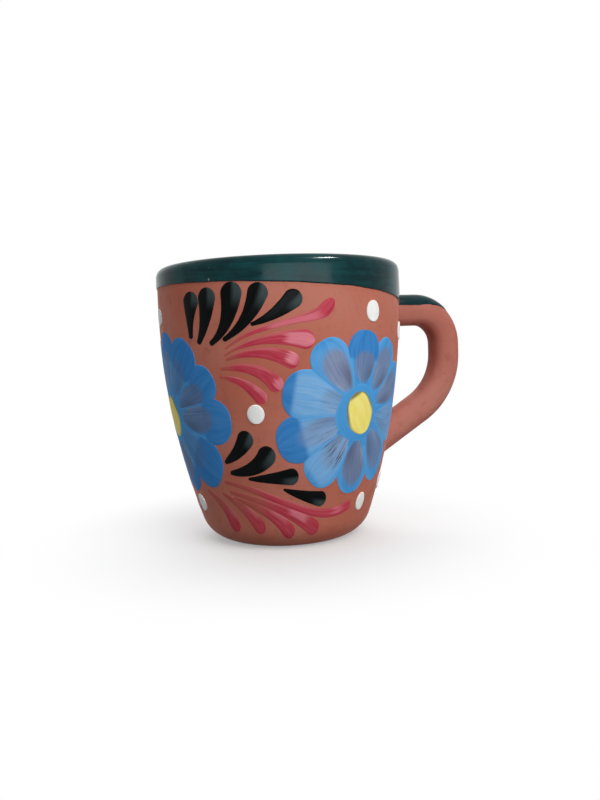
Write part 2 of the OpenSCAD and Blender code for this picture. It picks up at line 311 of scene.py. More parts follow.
# Hand swell: how far the thrown wall wanders from a true round, at an angle and a height
SWELL_UP = 26.0
SWELL_SCALE = 1.3
bench, takes, gives = new_group(
    "hand swell", "GeometryNodeTree",
    [("Angle", "value"), ("Height", "value"), ("Depth", "value")],
    [("Swell", "value")],
)
around = bench.vector(
    bench.calc("COSINE", takes["Angle"]),
    bench.calc("SINE", takes["Angle"]),
    bench.times(takes["Height"], SWELL_UP),
)
swell_noise = bench.grain(around, SWELL_SCALE, detail=1.0)
bench.feed(gives["Swell"], bench.times(bench.centred(swell_noise), takes["Depth"]))
hand_swell = bench.tree

# Wall point: the place on the outer wall at an angle and a height, lifted off the clay
bench, takes, gives = new_group(
    "wall point", "GeometryNodeTree",
    [("Angle", "value"), ("Height", "value"), ("Lift", "value"), ("Swell depth", "value")],
    [("Position", "vector")],
)
on_foot = bench.calc("LESS_THAN", takes["Height"], foot_meet_z)


def foot_or_wall(foot_value, wall_value):
    return bench.times_plus(on_foot, foot_value - wall_value, wall_value)


middle_r = foot_or_wall(foot_x, arc_x)
middle_z = foot_or_wall(foot_r, wide_z)
round_r = foot_or_wall(foot_r, wall_arc_r)
rise = bench.minus(takes["Height"], middle_z)
run = bench.calc("SQRT", bench.minus(bench.times(round_r, round_r), bench.times(rise, rise)))
lifted = bench.plus(1.0, bench.divide(takes["Lift"], round_r))
swelling = bench.place_group(hand_swell, {
    "Angle": takes["Angle"], "Height": takes["Height"], "Depth": takes["Swell depth"],
})
wall_radius = bench.plus(bench.times_plus(run, lifted, middle_r), swelling["Swell"])
bench.feed(gives["Position"], bench.vector(
    bench.times(wall_radius, bench.calc("COSINE", takes["Angle"])),
    bench.times(wall_radius, bench.calc("SINE", takes["Angle"])),
    bench.times_plus(rise, lifted, middle_z),
))
wall_point = bench.tree

# Thrown form: a half section turned round the axis. Marked points slide down to the rim band's brushed edge,
# which drops toward the handle
DIP_NARROWNESS = 1.85
WAVER_SCALE = 3.1
bench, takes, gives = new_group(
    "thrown form", "GeometryNodeTree",
    [("Section", "geometry"), ("Steps round", "count"), ("Swell depth", "value"), ("Edge slope", "value"),
     ("Handle dip", "value"), ("Edge waver", "value"), ("Material", "material")],
    [("Form", "geometry")],
)
section = bench.curve(takes["Section"])
place = bench.parts(bench.position())
section = bench.leave_mark(section, "section_r", place[0])
section = bench.leave_mark(section, "section_z", place[2])
form = bench.sweep(bench.angle_ring(takes["Steps round"]), section)
angle = bench.read_mark("angle")
radius = bench.read_mark("section_r")
height = bench.read_mark("section_z")
slide = bench.read_mark("slide")
cosine = bench.calc("COSINE", angle)
sine = bench.calc("SINE", angle)
near_handle = bench.calc("EXPONENT", bench.times(bench.times(angle, angle), -DIP_NARROWNESS))
waver = bench.centred(bench.grain(bench.vector(cosine, sine), WAVER_SCALE, detail=2.5))
drop = bench.times_plus(cosine, takes["Edge slope"], bench.times(near_handle, takes["Handle dip"]))
drop = bench.times_plus(waver, takes["Edge waver"], drop)
new_height = bench.minus(height, bench.times(slide, drop))
wall_lean = bench.divide(bench.minus(wide_z, height), wall_arc_r)
leaning = bench.times(bench.minus(new_height, height), wall_lean)
swelling = bench.place_group(hand_swell, {"Angle": angle, "Height": height, "Depth": takes["Swell depth"]})
off_axis = bench.ramp(radius, 0.0, still_r)
swelling = bench.times(swelling["Swell"], off_axis)
new_radius = bench.plus(radius, bench.plus(swelling, leaning))
spot = bench.vector(bench.times(new_radius, cosine), bench.times(new_radius, sine), new_height)
finish_tree(bench, bench.put(form, spot), CUP_MERGE, takes["Material"], gives["Form"])
thrown_form = bench.tree

# Brushed paint: sketched strokes in flat pattern space, each a closed low dome wrapped onto the wall
BRISTLES_ACROSS = 5.0
BRISTLES_ALONG = 0.7
BRISTLE_SCALE = 1.6
FULL_DOME_HALF_WIDTH = 1.2 * MM
bench, takes, gives = new_group(
    "brushed paint", "GeometryNodeTree",
    [("Sketch", "geometry"), ("Cup radius", "value"), ("Thickness", "value"), ("Layer step", "value"),
     ("Bristle depth", "value"), ("Roundness", "value"), ("Steps across", "count"), ("Swell depth", "value"),
     ("Material", "material")],
    [("Paint", "geometry")],
)
lines = bench.leave_vector(bench.curve(takes["Sketch"]), "centre", bench.position())
lines = bench.leave_vector(lines, "heading", bench.tangent())
paint = bench.sweep(lines, bench.dome_ring(takes["Steps across"]))
half_width = bench.read_mark("half_width")
across = bench.read_mark("across")
dome = bench.read_mark("dome")
heading = bench.parts(bench.read_vector("heading"))
sideways = bench.vector(bench.times(heading[1], -1.0), heading[0])
aside = bench.stretch(sideways, bench.times(across, half_width))
flat = bench.parts(bench.vector_plus(bench.read_vector("centre"), aside))
top_side = bench.calc("GREATER_THAN", dome, 0.001)
rounded = bench.calc("POWER", bench.calc("MAXIMUM", dome, 0.0), takes["Roundness"])
tapered = bench.ramp(half_width, 0.0, FULL_DOME_HALF_WIDTH)
bristle_place = bench.vector(
    bench.times(across, BRISTLES_ACROSS),
    bench.read_mark("seed"),
    bench.times(bench.read_mark("along"), BRISTLES_ALONG),
)
bristle = bench.centred(bench.grain(bristle_place, BRISTLE_SCALE))
body = bench.times_plus(bristle, takes["Bristle depth"], takes["Thickness"])
body = bench.times_plus(bench.read_mark("layer"), takes["Layer step"], body)
lift = bench.times(bench.times(body, rounded), tapered)
lift = bench.minus(bench.times(lift, top_side), paint_sink)
wrapped = bench.place_group(wall_point, {
    "Angle": bench.divide(flat[0], takes["Cup radius"]), "Height": flat[1],
    "Lift": lift, "Swell depth": takes["Swell depth"],
})
paint = bench.put(paint, wrapped["Position"])
finish_tree(bench, paint, COAT_MERGE, takes["Material"], gives["Paint"])
brushed_paint = bench.tree

# Coil point: the place on the handle's section, oval outside and flatter inside, at an angle from outside
FLAT_STEEPNESS = 2.2
COIL_SECTION = [("Corner radius", "value"), ("Flat across", "value"), ("Flat out", "value")]
bench, takes, gives = new_group(
    "coil point", "GeometryNodeTree",
    [("Centre", "vector"), ("Outward", "vector"), ("Angle", "value")] + COIL_SECTION,
    [("Position", "vector")],
)
cosine = bench.calc("COSINE", takes["Angle"])
inner_half = bench.calc("LESS_THAN", cosine, 0.0)


def reach_out(wave, flat):
    """How far the section goes one way: an oval's way outside, and inside past a flat and round a corner."""
    on_flat = bench.calc("MAXIMUM", bench.times(wave, FLAT_STEEPNESS), -1.0)
    on_flat = bench.calc("MINIMUM", on_flat, 1.0)
    squarer = bench.times(bench.minus(on_flat, wave), inner_half)
    flat_share = bench.plus(wave, squarer)
    return bench.times_plus(takes["Corner radius"], wave, bench.times(flat_share, flat))


sideways = reach_out(bench.calc("SINE", takes["Angle"]), takes["Flat across"])
outward = bench.stretch(takes["Outward"], reach_out(cosine, takes["Flat out"]))
spot = bench.vector_plus(takes["Centre"], bench.vector_plus(outward, bench.vector(0.0, sideways)))
bench.feed(gives["Position"], spot)
coil_point = bench.tree

PULLS_ALONG = 4.0
PULL_SCALE = 0.9
RAY_BACK = 14 * MM
RAY_REACH = 60 * MM


def coil_spot(bench, takes, centre, outward, angle, corner):
    """A place on the coil's section about a centre, with its outer side turned outward."""
    return bench.place_group(coil_point, {
        "Centre": centre, "Outward": outward, "Angle": angle, "Corner radius": corner,
        "Flat across": takes["Flat across"], "Flat out": takes["Flat out"],
    })["Position"]


def path_marks(bench, path):
    """A path in the handle's plane as a curve, marked with its centre line and its outward side."""
    curve = bench.leave_vector(bench.curve(path), "centre", bench.position())
    tangent = bench.tangent()
    curve = bench.leave_vector(curve, "heading", tangent)
    outward = bench.vector_calc("CROSS_PRODUCT", tangent, (0.0, 1.0, 0.0))
    return bench.leave_vector(curve, "outward", outward)


def hand_pull(bench, along, angle, depth):
    """How far the pulled coil wanders from an even section."""
    pulled = bench.vector(
        bench.times(along, PULLS_ALONG), bench.calc("COSINE", angle), bench.calc("SINE", angle),
    )
    return bench.times(bench.centred(bench.grain(pulled, PULL_SCALE, detail=1.0)), depth)


def meet_wall(bench, spot, heading, wall, sink):
    """Where a line along the heading comes to the clay wall from outside, sunk a little."""
    body = bench.add("GeometryNodeObjectInfo", {"Object": wall}).outputs["Geometry"]
    start = bench.vector_plus(spot, bench.stretch(heading, -RAY_BACK))
    feeds = {
        "Target Geometry": body, "Source Position": start,
        "Ray Direction": heading, "Ray Length": RAY_REACH,
    }
    hit = bench.add("GeometryNodeRaycast", feeds).outputs["Hit Position"]
    return bench.vector_plus(hit, bench.stretch(heading, sink))


# Pulled handle: a rounded section carried along the path, its two ends cut to the cup's wall
bench, takes, gives = new_group(
    "pulled handle", "GeometryNodeTree",
    [("Path", "geometry")] + COIL_SECTION
    + [("Steps round", "count"), ("Pull", "value"), ("Wall", "object"), ("Material", "material")],
    [("Handle", "geometry")],
)
path = path_marks(bench, takes["Path"])
coil = bench.sweep(path, bench.angle_ring(takes["Steps round"]), caps=True)
along = bench.read_mark("along")
angle = bench.read_mark("angle")
corner = bench.plus(takes["Corner radius"], hand_pull(bench, along, angle, takes["Pull"]))
spot = coil_spot(bench, takes, bench.read_vector("centre"), bench.read_vector("outward"), angle, corner)
coil = bench.put(coil, spot)
here = bench.position()
at_top_root = bench.calc("LESS_THAN", along, 0.0001)
at_low_root = bench.calc("GREATER_THAN", along, 0.9999)
inward = bench.stretch(bench.read_vector("heading"), bench.minus(at_low_root, at_top_root))
at_wall = meet_wall(bench, here, inward, takes["Wall"], root_sink)
coil = bench.put(coil, at_wall, only=bench.plus(at_top_root, at_low_root))
finish_tree(bench, coil, COIL_MERGE, takes["Material"], gives["Handle"])
pulled_handle = bench.tree

# Handle coat: the green stroke on top of the handle, a low dome with a brushed edge and a blunt end
COAT_STEPS_ACROSS = 48
COAT_ROUNDNESS = 0.5
EDGE_WAVES_ALONG = 16.0
EDGE_SCALE = 1.7
bench, takes, gives = new_group(
    "handle coat", "GeometryNodeTree",
    [("Path", "geometry")] + COIL_SECTION
    + [("Half angle", "value"), ("Thickness", "value"), ("Edge waver", "value"), ("Pull", "value"),
       ("Material", "material")],
    [("Coat", "geometry")],
)
path = path_marks(bench, takes["Path"])
coat = bench.sweep(path, bench.dome_ring(COAT_STEPS_ACROSS))
across = bench.read_mark("across")
along = bench.read_mark("along")
stroke_end = bench.read_mark("stroke")
edge_place = bench.vector(bench.times(along, EDGE_WAVES_ALONG), bench.calc("SIGN", across))
edge_noise = bench.times(bench.centred(bench.grain(edge_place, EDGE_SCALE)), takes["Edge waver"])
reach = bench.times(bench.plus(takes["Half angle"], edge_noise), stroke_end)
angle = bench.times(across, reach)
uneven = hand_pull(bench, along, angle, takes["Pull"])
rounded = bench.calc("POWER", bench.calc("MAXIMUM", bench.read_mark("dome"), 0.0), COAT_ROUNDNESS)
lift = bench.times(bench.times(rounded, takes["Thickness"]), bench.ramp(stroke_end, 0.0, 0.5))
lift = bench.minus(lift, paint_sink)
corner = bench.plus(bench.plus(takes["Corner radius"], lift), uneven)
spot = coil_spot(bench, takes, bench.read_vector("centre"), bench.read_vector("outward"), angle, corner)
finish_tree(bench, bench.put(coat, spot), COAT_MERGE, takes["Material"], gives["Coat"])
handle_coat = bench.tree

# Slip fillet: wet clay smoothed into the corner between the coil and the wall, all round the root
FILLET_STEPS_ROUND = 96
FILLET_STEPS_ACROSS = 20
THUMB_SCALE = 2.3
THUMB_SWING = 0.9
THUMB_LEAST = 0.55
FILLET_DEPTH = 0.9
bench, takes, gives = new_group(
    "slip fillet", "GeometryNodeTree",
    [("Root", "vector"), ("Inward", "vector"), ("Outward", "vector")] + COIL_SECTION
    + [("Width", "value"), ("Height", "value"), ("Wall", "object"), ("Material", "material")],
    [("Fillet", "geometry")],
)
strip = bench.sweep(bench.angle_ring(FILLET_STEPS_ROUND), bench.dome_ring(FILLET_STEPS_ACROSS))
angle = bench.read_mark("angle")
round_root = bench.vector(bench.calc("COSINE", angle), bench.calc("SINE", angle))
thumbed = bench.times_plus(bench.grain(round_root, THUMB_SCALE, detail=1.5), THUMB_SWING, THUMB_LEAST)


def root_corner(grow):
    """The line round the root on the wall, outside the coil's section by so much."""
    corner = bench.plus(takes["Corner radius"], grow)
    spot = coil_spot(bench, takes, takes["Root"], takes["Outward"], angle, corner)
    return meet_wall(bench, spot, takes["Inward"], takes["Wall"], 0.0)


corner = root_corner(0.0)
on_wall = root_corner(bench.times(takes["Width"], thumbed))
up_coil = bench.times(takes["Height"], bench.times(thumbed, -1.0))
on_coil = bench.vector_plus(corner, bench.stretch(takes["Inward"], up_coil))
chord = bench.stretch(bench.vector_plus(on_wall, on_coil), 0.5)
behind = bench.vector_plus(corner, bench.stretch(bench.vector_minus(corner, chord), FILLET_DEPTH))
outer_side = bench.calc("GREATER_THAN", bench.read_mark("dome"), 0.0001)
bend_to = bench.vector_plus(behind, bench.stretch(bench.vector_minus(corner, behind), outer_side))
share = bench.times_plus(bench.read_mark("across"), 0.5, 0.5)
rest = bench.minus(1.0, share)
spot = bench.vector_plus(
    bench.stretch(on_wall, bench.times(rest, rest)),
    bench.stretch(on_coil, bench.times(share, share)),
)
spot = bench.vector_plus(spot, bench.stretch(bend_to, bench.times(2.0, bench.times(share, rest))))
finish_tree(bench, bench.put(strip, spot), COAT_MERGE, takes["Material"], gives["Fillet"])
slip_fillet = bench.tree


def sketch(chains):
    """A mesh of lines. Each chain has points and marks for each point by name, and may close on itself."""
    mesh = bpy.data.meshes.new("sketch")
    points = []
    edges = []
    marks = {}
    for chain in chains:
        start = len(points)
        count = len(chain["points"])
        points += chain["points"]
        edges += [(start + i, start + i + 1) for i in range(count - 1)]
        if chain.get("closed"):
            edges.append((start + count - 1, start))
        for name, values in chain["marks"].items():
            marks.setdefault(name, []).extend(values)
    mesh.from_pydata(points, edges, [])
    for name, values in marks.items():
        mesh.attributes.new(name, "FLOAT", "POINT").data.foreach_set("value", values)
    return mesh


# Marks that only the trees read
HELPERS = [
    "centre", "heading", "outward", "section_r", "section_z", "slide",
    "half_width", "dome", "layer", "angle", "stroke",
]
NO_LENGTH = 1e-8


def make(name, tree, start, sizes):
    """Runs a tree on a sketch and leaves a plain closed mesh with its faces turned outward."""
    piece = bpy.data.objects.new(name, start)
    bpy.context.scene.collection.objects.link(piece)
    run = piece.modifiers.new("make", "NODES")
    run.node_group = tree
    for item in tree.interface.items_tree:
        if item.in_out == "INPUT" and item.name in sizes:
            run[item.identifier] = sizes[item.name]
    made = bpy.data.meshes.new_from_object(piece.evaluated_get(bpy.context.evaluated_depsgraph_get()))
    piece.modifiers.remove(run)
    piece.data = made
    made.name = name
    bpy.data.meshes.remove(start)
    for helper in HELPERS:
        if helper in made.attributes:
            made.attributes.remove(made.attributes[helper])
    shell = bmesh.new()
    shell.from_mesh(made)
    bmesh.ops.dissolve_degenerate(shell, dist=NO_LENGTH, edges=shell.edges)
    bmesh.ops.recalc_face_normals(shell, faces=shell.faces)
    shell.to_mesh(made)
    shell.free()
    return piece


def dress(piece, slot, *nodes):
    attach(piece, "root")
    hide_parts(*nodes)


# Shader groups. Clay grain: the fired body's tone, its pores and its fine tooth
bench, takes, gives = new_group(
    "clay grain", "ShaderNodeTree",
    [("Tooth", "value"), ("Rings", "value")],
    [("Tone", "value"), ("Warmth", "value"), ("Pores", "value"), ("Height", "value")],
)
place = bench.object_place()
fine = bench.grain(place, scale=1900.0, detail=3.0, roughness=0.6)
middle = bench.grain(place, scale=240.0, detail=3.0, roughness=0.55)
broad = bench.grain(place, scale=34.0)
turning_lines = bench.vector_calc("MULTIPLY", place, (60.0, 60.0, 900.0))
ring_noise = bench.grain(turning_lines, scale=1.0, detail=3.0, roughness=0.6)
pore_noise = bench.grain(place, scale=2100.0, detail=1.0)
pores = bench.ramp(pore_noise, 0.72, 0.8)
tone = bench.times_plus(bench.centred(fine), 0.7, bench.centred(middle))
tone = bench.times_plus(bench.centred(ring_noise), takes["Rings"], tone)
bench.feed(gives["Tone"], bench.plus(0.5, bench.times(tone, 0.9)))
bench.feed(gives["Warmth"], bench.ramp(broad, 0.32, 0.68))
bench.feed(gives["Pores"], pores)
rough_height = bench.times_plus(ring_noise, takes["Rings"], bench.times(fine, takes["Tooth"]))
bench.feed(gives["Height"], bench.minus(rough_height, bench.times(pores, 0.7)))
clay_grain = bench.tree

# Brush streaks: what the bristles leave along a stroke
bench, takes, gives = new_group(
    "brush streaks", "ShaderNodeTree",
    [("Bristles", "value"), ("Drag", "value")],
    [("Streak", "value"), ("Fine", "value"), ("Along", "value"), ("Across", "value")],
)
along = bench.read_tint("along")
across = bench.read_tint("across")
seed = bench.read_tint("seed")
lane = bench.times(across, takes["Bristles"])
course = bench.times(along, takes["Drag"])
streak = bench.grain(bench.vector(lane, course, seed), scale=1.0, detail=3.0, roughness=0.6)
hair_place = bench.vector(bench.times(lane, 3.4), bench.times(course, 1.6), seed)
fine = bench.grain(hair_place, scale=1.0, detail=3.0, roughness=0.65)
bench.feed(gives["Streak"], bench.ramp(streak, 0.3, 0.7))
bench.feed(gives["Fine"], bench.ramp(fine, 0.28, 0.72))
bench.feed(gives["Along"], along)
bench.feed(gives["Across"], across)
brush_streaks = bench.tree

# Glaze pool: where a glaze lies thick or thin, its pinholes and its slightly uneven skin
bench, takes, gives = new_group(
    "glaze pool", "ShaderNodeTree",
    [("Brush", "value")],
    [("Thin", "value"), ("Specks", "value"), ("Height", "value")],
)
place = bench.object_place()
pool = bench.grain(place, scale=95.0, detail=3.0, roughness=0.6)
brush_lines = bench.vector_calc("MULTIPLY", place, (70.0, 70.0, 620.0))
brushed = bench.grain(brush_lines, scale=1.0, detail=3.0, roughness=0.6)
skin = bench.grain(place, scale=330.0, detail=1.0)
speck_noise = bench.grain(place, scale=620.0, detail=0.0)
thin = bench.times_plus(bench.centred(brushed), takes["Brush"], pool)
bench.feed(gives["Thin"], bench.ramp(thin, 0.3, 0.75))
bench.feed(gives["Specks"], bench.ramp(speck_noise, 0.83, 0.86))
bench.feed(gives["Height"], bench.times_plus(brushed, takes["Brush"], skin))
glaze_pool = bench.tree

# Depth of the relief in each finish, and where the glaze starts and ends its break, about the top of the lip
CLAY_RELIEF = 0.12 * MM
GLAZE_RELIEF = 0.12 * MM
PAINT_RELIEF = 0.05 * MM
BREAK_BELOW = 0.9 * MM
BREAK_ABOVE = 0.3 * MM


def new_material(name):
    material = bpy.data.materials.new(name)
    material.use_nodes = True
    bench = Bench(material.node_tree)
    return material, bench, material.node_tree.nodes["Principled BSDF"].inputs


def raise_surface(bench, shader, height, strength, depth):
    bump = bench.add("ShaderNodeBump", {"Strength": strength, "Distance": depth, "Height": height})
    bench.feed(shader["Normal"], bump.outputs[0])


def clay_material(name, pale, warm, dark, rings, tooth, index):
    """Fired red clay: pinkish and orange drifts, pores, faint turning lines and a soft burnish."""
    material, bench, shader = new_material(name)
    grain = bench.place_group(clay_grain, {"Tooth": tooth, "Rings": rings})
    colour = bench.blend(grain["Warmth"], pale, warm)
    colour = bench.blend(bench.ramp(grain["Tone"], 0.5, 0.1), colour, dark)
    colour = bench.blend(bench.times(grain["Pores"], 0.3), colour, rgb(110, 62, 48))
    bench.feed(shader["Base Color"], colour)
    bench.feed(shader["Roughness"], bench.ramp(grain["Tone"], 0.2, 0.8, 0.62, 0.48))
    shader["IOR"].default_value = index
    raise_surface(bench, shader, grain["Height"], 0.35, CLAY_RELIEF)
    return material


clay = clay_material(
    "fired_clay", pale=rgb(192, 120, 103), warm=rgb(187, 107, 87), dark=rgb(173, 100, 82),
    rings=0.3, tooth=0.8, index=1.15,
)
# The handle's own clay has no turning lines; its colours are mixed paler and pinker than the body's, a
# painted sheen
handle_clay_painted_sheen = clay_material(
    "handle_clay_painted_sheen", pale=rgb(188, 122, 109), warm=rgb(180, 109, 95), dark=rgb(164, 94, 80),
    rings=0.1, tooth=0.8, index=1.12,
)
slip_clay = clay_material(
    "smoothed_slip", pale=rgb(184, 112, 94), warm=rgb(178, 101, 81), dark=rgb(156, 86, 69),
    rings=0.0, tooth=1.0, index=1.15,
)


def glaze_material(name, thick, thin, break_colour, brush, gloss, index):
    """A glossy coat that lightens where it is thin and breaks over the lip."""
    material, bench, shader = new_material(name)
    pool = bench.place_group(glaze_pool, {"Brush": brush})
    height = bench.parts(bench.object_place())[2]
    colour = bench.blend(pool["Thin"], thick, thin)
    on_lip = bench.ramp(height, cup_h - BREAK_BELOW, cup_h + BREAK_ABOVE, 0.0, 0.5)
    colour = bench.blend(on_lip, colour, break_colour)
    colour = bench.blend(bench.times(pool["Specks"], 0.6), colour, rgb(150, 160, 150))
    bench.feed(shader["Base Color"], colour)
    bench.feed(shader["Roughness"], bench.ramp(pool["Thin"], 0.0, 1.0, gloss, gloss + 0.1))
    shader["IOR"].default_value = index
    raise_surface(bench, shader, pool["Height"], 0.16, GLAZE_RELIEF)
    return material


green_glaze = glaze_material(
    "green_glaze", thick=rgb(2, 42, 46), thin=rgb(14, 66, 69), break_colour=rgb(20, 62, 62),
    brush=0.7, gloss=0.1, index=1.18,
)
amber_glaze = glaze_material(
    "amber_lining", thick=rgb(140, 72, 48), thin=rgb(168, 96, 66), break_colour=rgb(170, 100, 70),
    brush=0.9, gloss=0.12, index=1.3,
)


def paint_material(name, gloss, index, relief, bristles, drag):
    """Brushed paint with bristle streaks. The index says how strongly it mirrors."""
    material, bench, shader = new_material(name)
    brush = bench.place_group(brush_streaks, {"Bristles": bristles, "Drag": drag})
    bench.feed(shader["Roughness"], bench.ramp(brush["Streak"], 0.0, 1.0, gloss, gloss + 0.1))
    shader["IOR"].default_value = index
    raise_surface(bench, shader, brush["Fine"], relief, PAINT_RELIEF)
    return material, bench, shader, brush


black_paint, bench, shader, brush = paint_material(
    "black_paint", gloss=0.22, index=1.12, relief=0.08, bristles=3.0, drag=2.0,
)
colour = bench.blend(brush["Streak"], rgb(4, 6, 6), rgb(11, 14, 15))
# Painted sheen: one side of each head's end is mixed toward pale grey, standing in for a window's reflection
# on the glossy black
painted_sheen_head = bench.all_of(bench.ramp(brush["Along"], 0.6, 0.88), bench.ramp(brush["Across"], 0.15, -0.45))
colour = bench.blend(bench.times(painted_sheen_head, 0.6), colour, rgb(76, 90, 92))
bench.feed(shader["Base Color"], colour)

red_paint, bench, shader, brush = paint_material(
    "red_paint", gloss=0.34, index=1.11, relief=0.08, bristles=3.5, drag=2.4,
)
along = brush["Along"]
across = brush["Across"]
colour = bench.blend(brush["Streak"], rgb(182, 50, 70), rgb(200, 72, 90))
# Painted highlight: a pale pink line along each stroke's upper edge, where the raised paint catches the light
upper_edge_highlight = bench.all_of(
    bench.ramp(across, 0.3, 0.7), bench.ramp(brush["Fine"], -0.2, 0.7), bench.ramp(along, 0.9, 0.6),
)
colour = bench.blend(bench.times(upper_edge_highlight, 0.65), colour, rgb(206, 122, 124))
light_streaks = bench.all_of(bench.ramp(brush["Fine"], 0.4, 0.9), bench.ramp(along, 0.25, 0.5))
colour = bench.blend(bench.times(light_streaks, 0.28), colour, rgb(208, 112, 122))
# The pink at the heads is partly the brush's second colour and partly a painted reflection of a window on the
# red
streaked = bench.times_plus(brush["Fine"], 0.07, along)
pink_from = bench.minus(streaked, bench.read_tint("pink_from"))
pink_to = bench.minus(bench.read_tint("pink_to"), streaked)
pink_side = bench.absolute(bench.minus(across, bench.read_tint("pink_side")))
pink_load_and_sheen = bench.all_of(
    bench.read_tint("pink"), bench.ramp(pink_from, -0.05, 0.04), bench.ramp(pink_to, -0.04, 0.04),
    bench.ramp(pink_side, 0.85, 0.55),
)
colour = bench.blend(pink_load_and_sheen, colour, bench.blend(brush["Fine"], rgb(222, 124, 144), rgb(234, 146, 158)))
faded = bench.read_tint("faded")
from_tail = bench.times_plus(faded, -0.9, along)
dry_tail = bench.times_plus(brush["Fine"], -0.35, bench.ramp(from_tail, 0.0, 0.45, 1.0, 0.0))
colour = bench.blend(bench.ramp(dry_tail, 0.1, 0.8, 0.0, 0.8), colour, rgb(180, 98, 86))
colour = bench.blend(bench.times(faded, 0.5), colour, rgb(160, 82, 76))
bench.feed(shader["Base Color"], colour)

blue_paint, bench, shader, brush = paint_material(
    "blue_paint", gloss=0.5, index=1.11, relief=0.08, bristles=4.5, drag=1.6,
)
along = brush["Along"]
across = brush["Across"]
streak = brush["Streak"]
fine = brush["Fine"]
core_start = bench.read_tint("core_start")
core_end = bench.read_tint("core_end")
colour = bench.blend(streak, rgb(68, 151, 220), rgb(86, 165, 228))
from_lean = bench.absolute(bench.minus(across, bench.read_tint("lean")))
pale_body = bench.all_of(
    bench.read_tint("pale"), bench.ramp(from_lean, 1.0, 0.66), bench.ramp(along, 0.08, 0.3),
    bench.ramp(along, 0.97, 0.86), bench.ramp(streak, -1.2, 0.5),
)
colour = bench.blend(pale_body, colour, bench.blend(fine, rgb(112, 176, 234), rgb(140, 190, 234)))
plain_tip = bench.minus(along, bench.read_tint("plain_from"))
tip_blue = bench.blend(streak, rgb(54, 128, 200), rgb(70, 142, 210))
colour = bench.blend(bench.ramp(plain_tip, -0.05, 0.04), colour, tip_blue)
core_length = bench.minus(core_end, core_start)
core_ends = bench.plus(core_end, core_start)
core_place = bench.divide(bench.times_plus(along, 2.0, bench.times(core_ends, -1.0)), core_length)
core_width = bench.divide(from_lean, 0.74)
oval = bench.times_plus(core_place, core_place, bench.times(core_width, core_width))
core = bench.all_of(bench.read_tint("mauve"), bench.ramp(oval, 1.35, 0.6), bench.ramp(streak, -1.0, 0.4))
wash = bench.blend(fine, rgb(134, 150, 186), rgb(156, 168, 198))
wash = bench.blend(bench.read_tint("tone"), wash, bench.blend(fine, rgb(80, 102, 140), rgb(98, 116, 150)))
colour = bench.blend(core, colour, wash)
shaded_side = bench.all_of(
    core, bench.ramp(along, 0.7, 0.35), bench.ramp(across, 0.1, -0.45), bench.ramp(fine, -0.5, 0.8),
)
colour = bench.blend(bench.times(shaded_side, 0.7), colour, rgb(84, 82, 104))
dry_side = bench.all_of(
    core, bench.ramp(along, 0.65, 0.3), bench.ramp(across, 0.05, 0.5), bench.ramp(fine, 0.2, 0.9),
)
colour = bench.blend(bench.times(dry_side, 0.55), colour, rgb(178, 188, 214))
edge_light = bench.all_of(
    bench.ramp(bench.absolute(across), 0.62, 0.9), bench.ramp(along, 0.12, 0.35),
    bench.ramp(plain_tip, 0.04, -0.05), bench.ramp(fine, -0.5, 0.9),
)
colour = bench.blend(bench.times(edge_light, 0.6), colour, rgb(104, 178, 236))
root_lines = bench.all_of(
    bench.read_tint("lines"), bench.ramp(fine, 0.36, 0.16), bench.ramp(along, 0.14, 0.26),
    bench.ramp(along, 0.7, 0.45), bench.ramp(bench.absolute(across), 0.8, 0.6),
)
colour = bench.blend(root_lines, colour, rgb(66, 70, 92))
bench.feed(shader["Base Color"], colour)

yellow_paint, bench, shader, brush = paint_material(
    "yellow_paint", gloss=0.45, index=1.11, relief=0.12, bristles=3.0, drag=2.0,
)
colour = bench.blend(brush["Streak"], rgb(252, 234, 115), rgb(254, 243, 146))
# A dark brown rim round the heart, strongest at its upper-left end: partly clay showing between the yellow
# and the blue, partly a painted shadow
outer = bench.ramp(bench.absolute(brush["Across"]), 0.76, 0.96)
outer = bench.calc("MAXIMUM", outer, bench.ramp(brush["Along"], 0.12, 0.03))
outer = bench.times(outer, bench.ramp(brush["Along"], 0.4, 0.75, 0.85, 0.35))
colour = bench.blend(outer, colour, rgb(96, 76, 50))
bench.feed(shader["Base Color"], colour)

white_paint, bench, shader, brush = paint_material(
    "white_paint", gloss=0.36, index=1.12, relief=0.06, bristles=2.0, drag=2.0,
)
bench.feed(shader["Base Color"], bench.blend(brush["Streak"], rgb(248, 251, 250), rgb(254, 255, 254)))

# Throwing the cup: the clay body, its amber lining and the green rim band
STEPS_ROUND = 256
WALL_STEPS = 44
CORNER_STEPS = 14
LIP_STEPS = 18
FOOT_STEPS = 6
FLOOR_STEPS = 5


def outer_line(coat, start_z=None):
    """The outer wall in half section from the foot, or from a height, up to the lip."""
    line = []
    start = foot_angle
    if start_z is None:
        line = arc(foot_x, foot_r, foot_r + coat, -math.pi / 2, foot_angle, CORNER_STEPS)[:-1]
    else:
        start = math.asin((start_z - wide_z) / wall_arc_r)
    return line + arc(arc_x, wide_z, wall_arc_r + coat, start, lip_angle, WALL_STEPS)


def hollow_line(coat, start_z=None):
    """The inner wall in half section from the well, or from a height, up to the lip."""
    line = []
    start = well_angle
    if start_z is None:
        line = arc(well_x, well_z, well_r - coat, -math.pi / 2, well_angle, CORNER_STEPS)[:-1]
    else:
        start = math.asin((start_z - wide_z) / inner_arc_r)
    return line + arc(arc_x, wide_z, inner_arc_r - coat, start, lip_angle, WALL_STEPS)


def lip_line(coat):
    return arc(lip_x, lip_z, lip_r + coat, lip_angle, lip_angle + math.pi, LIP_STEPS)


def level(r_start, r_end, z, steps):
    return [(r_start + (r_end - r_start) * i / steps, z) for i in range(steps + 1)]


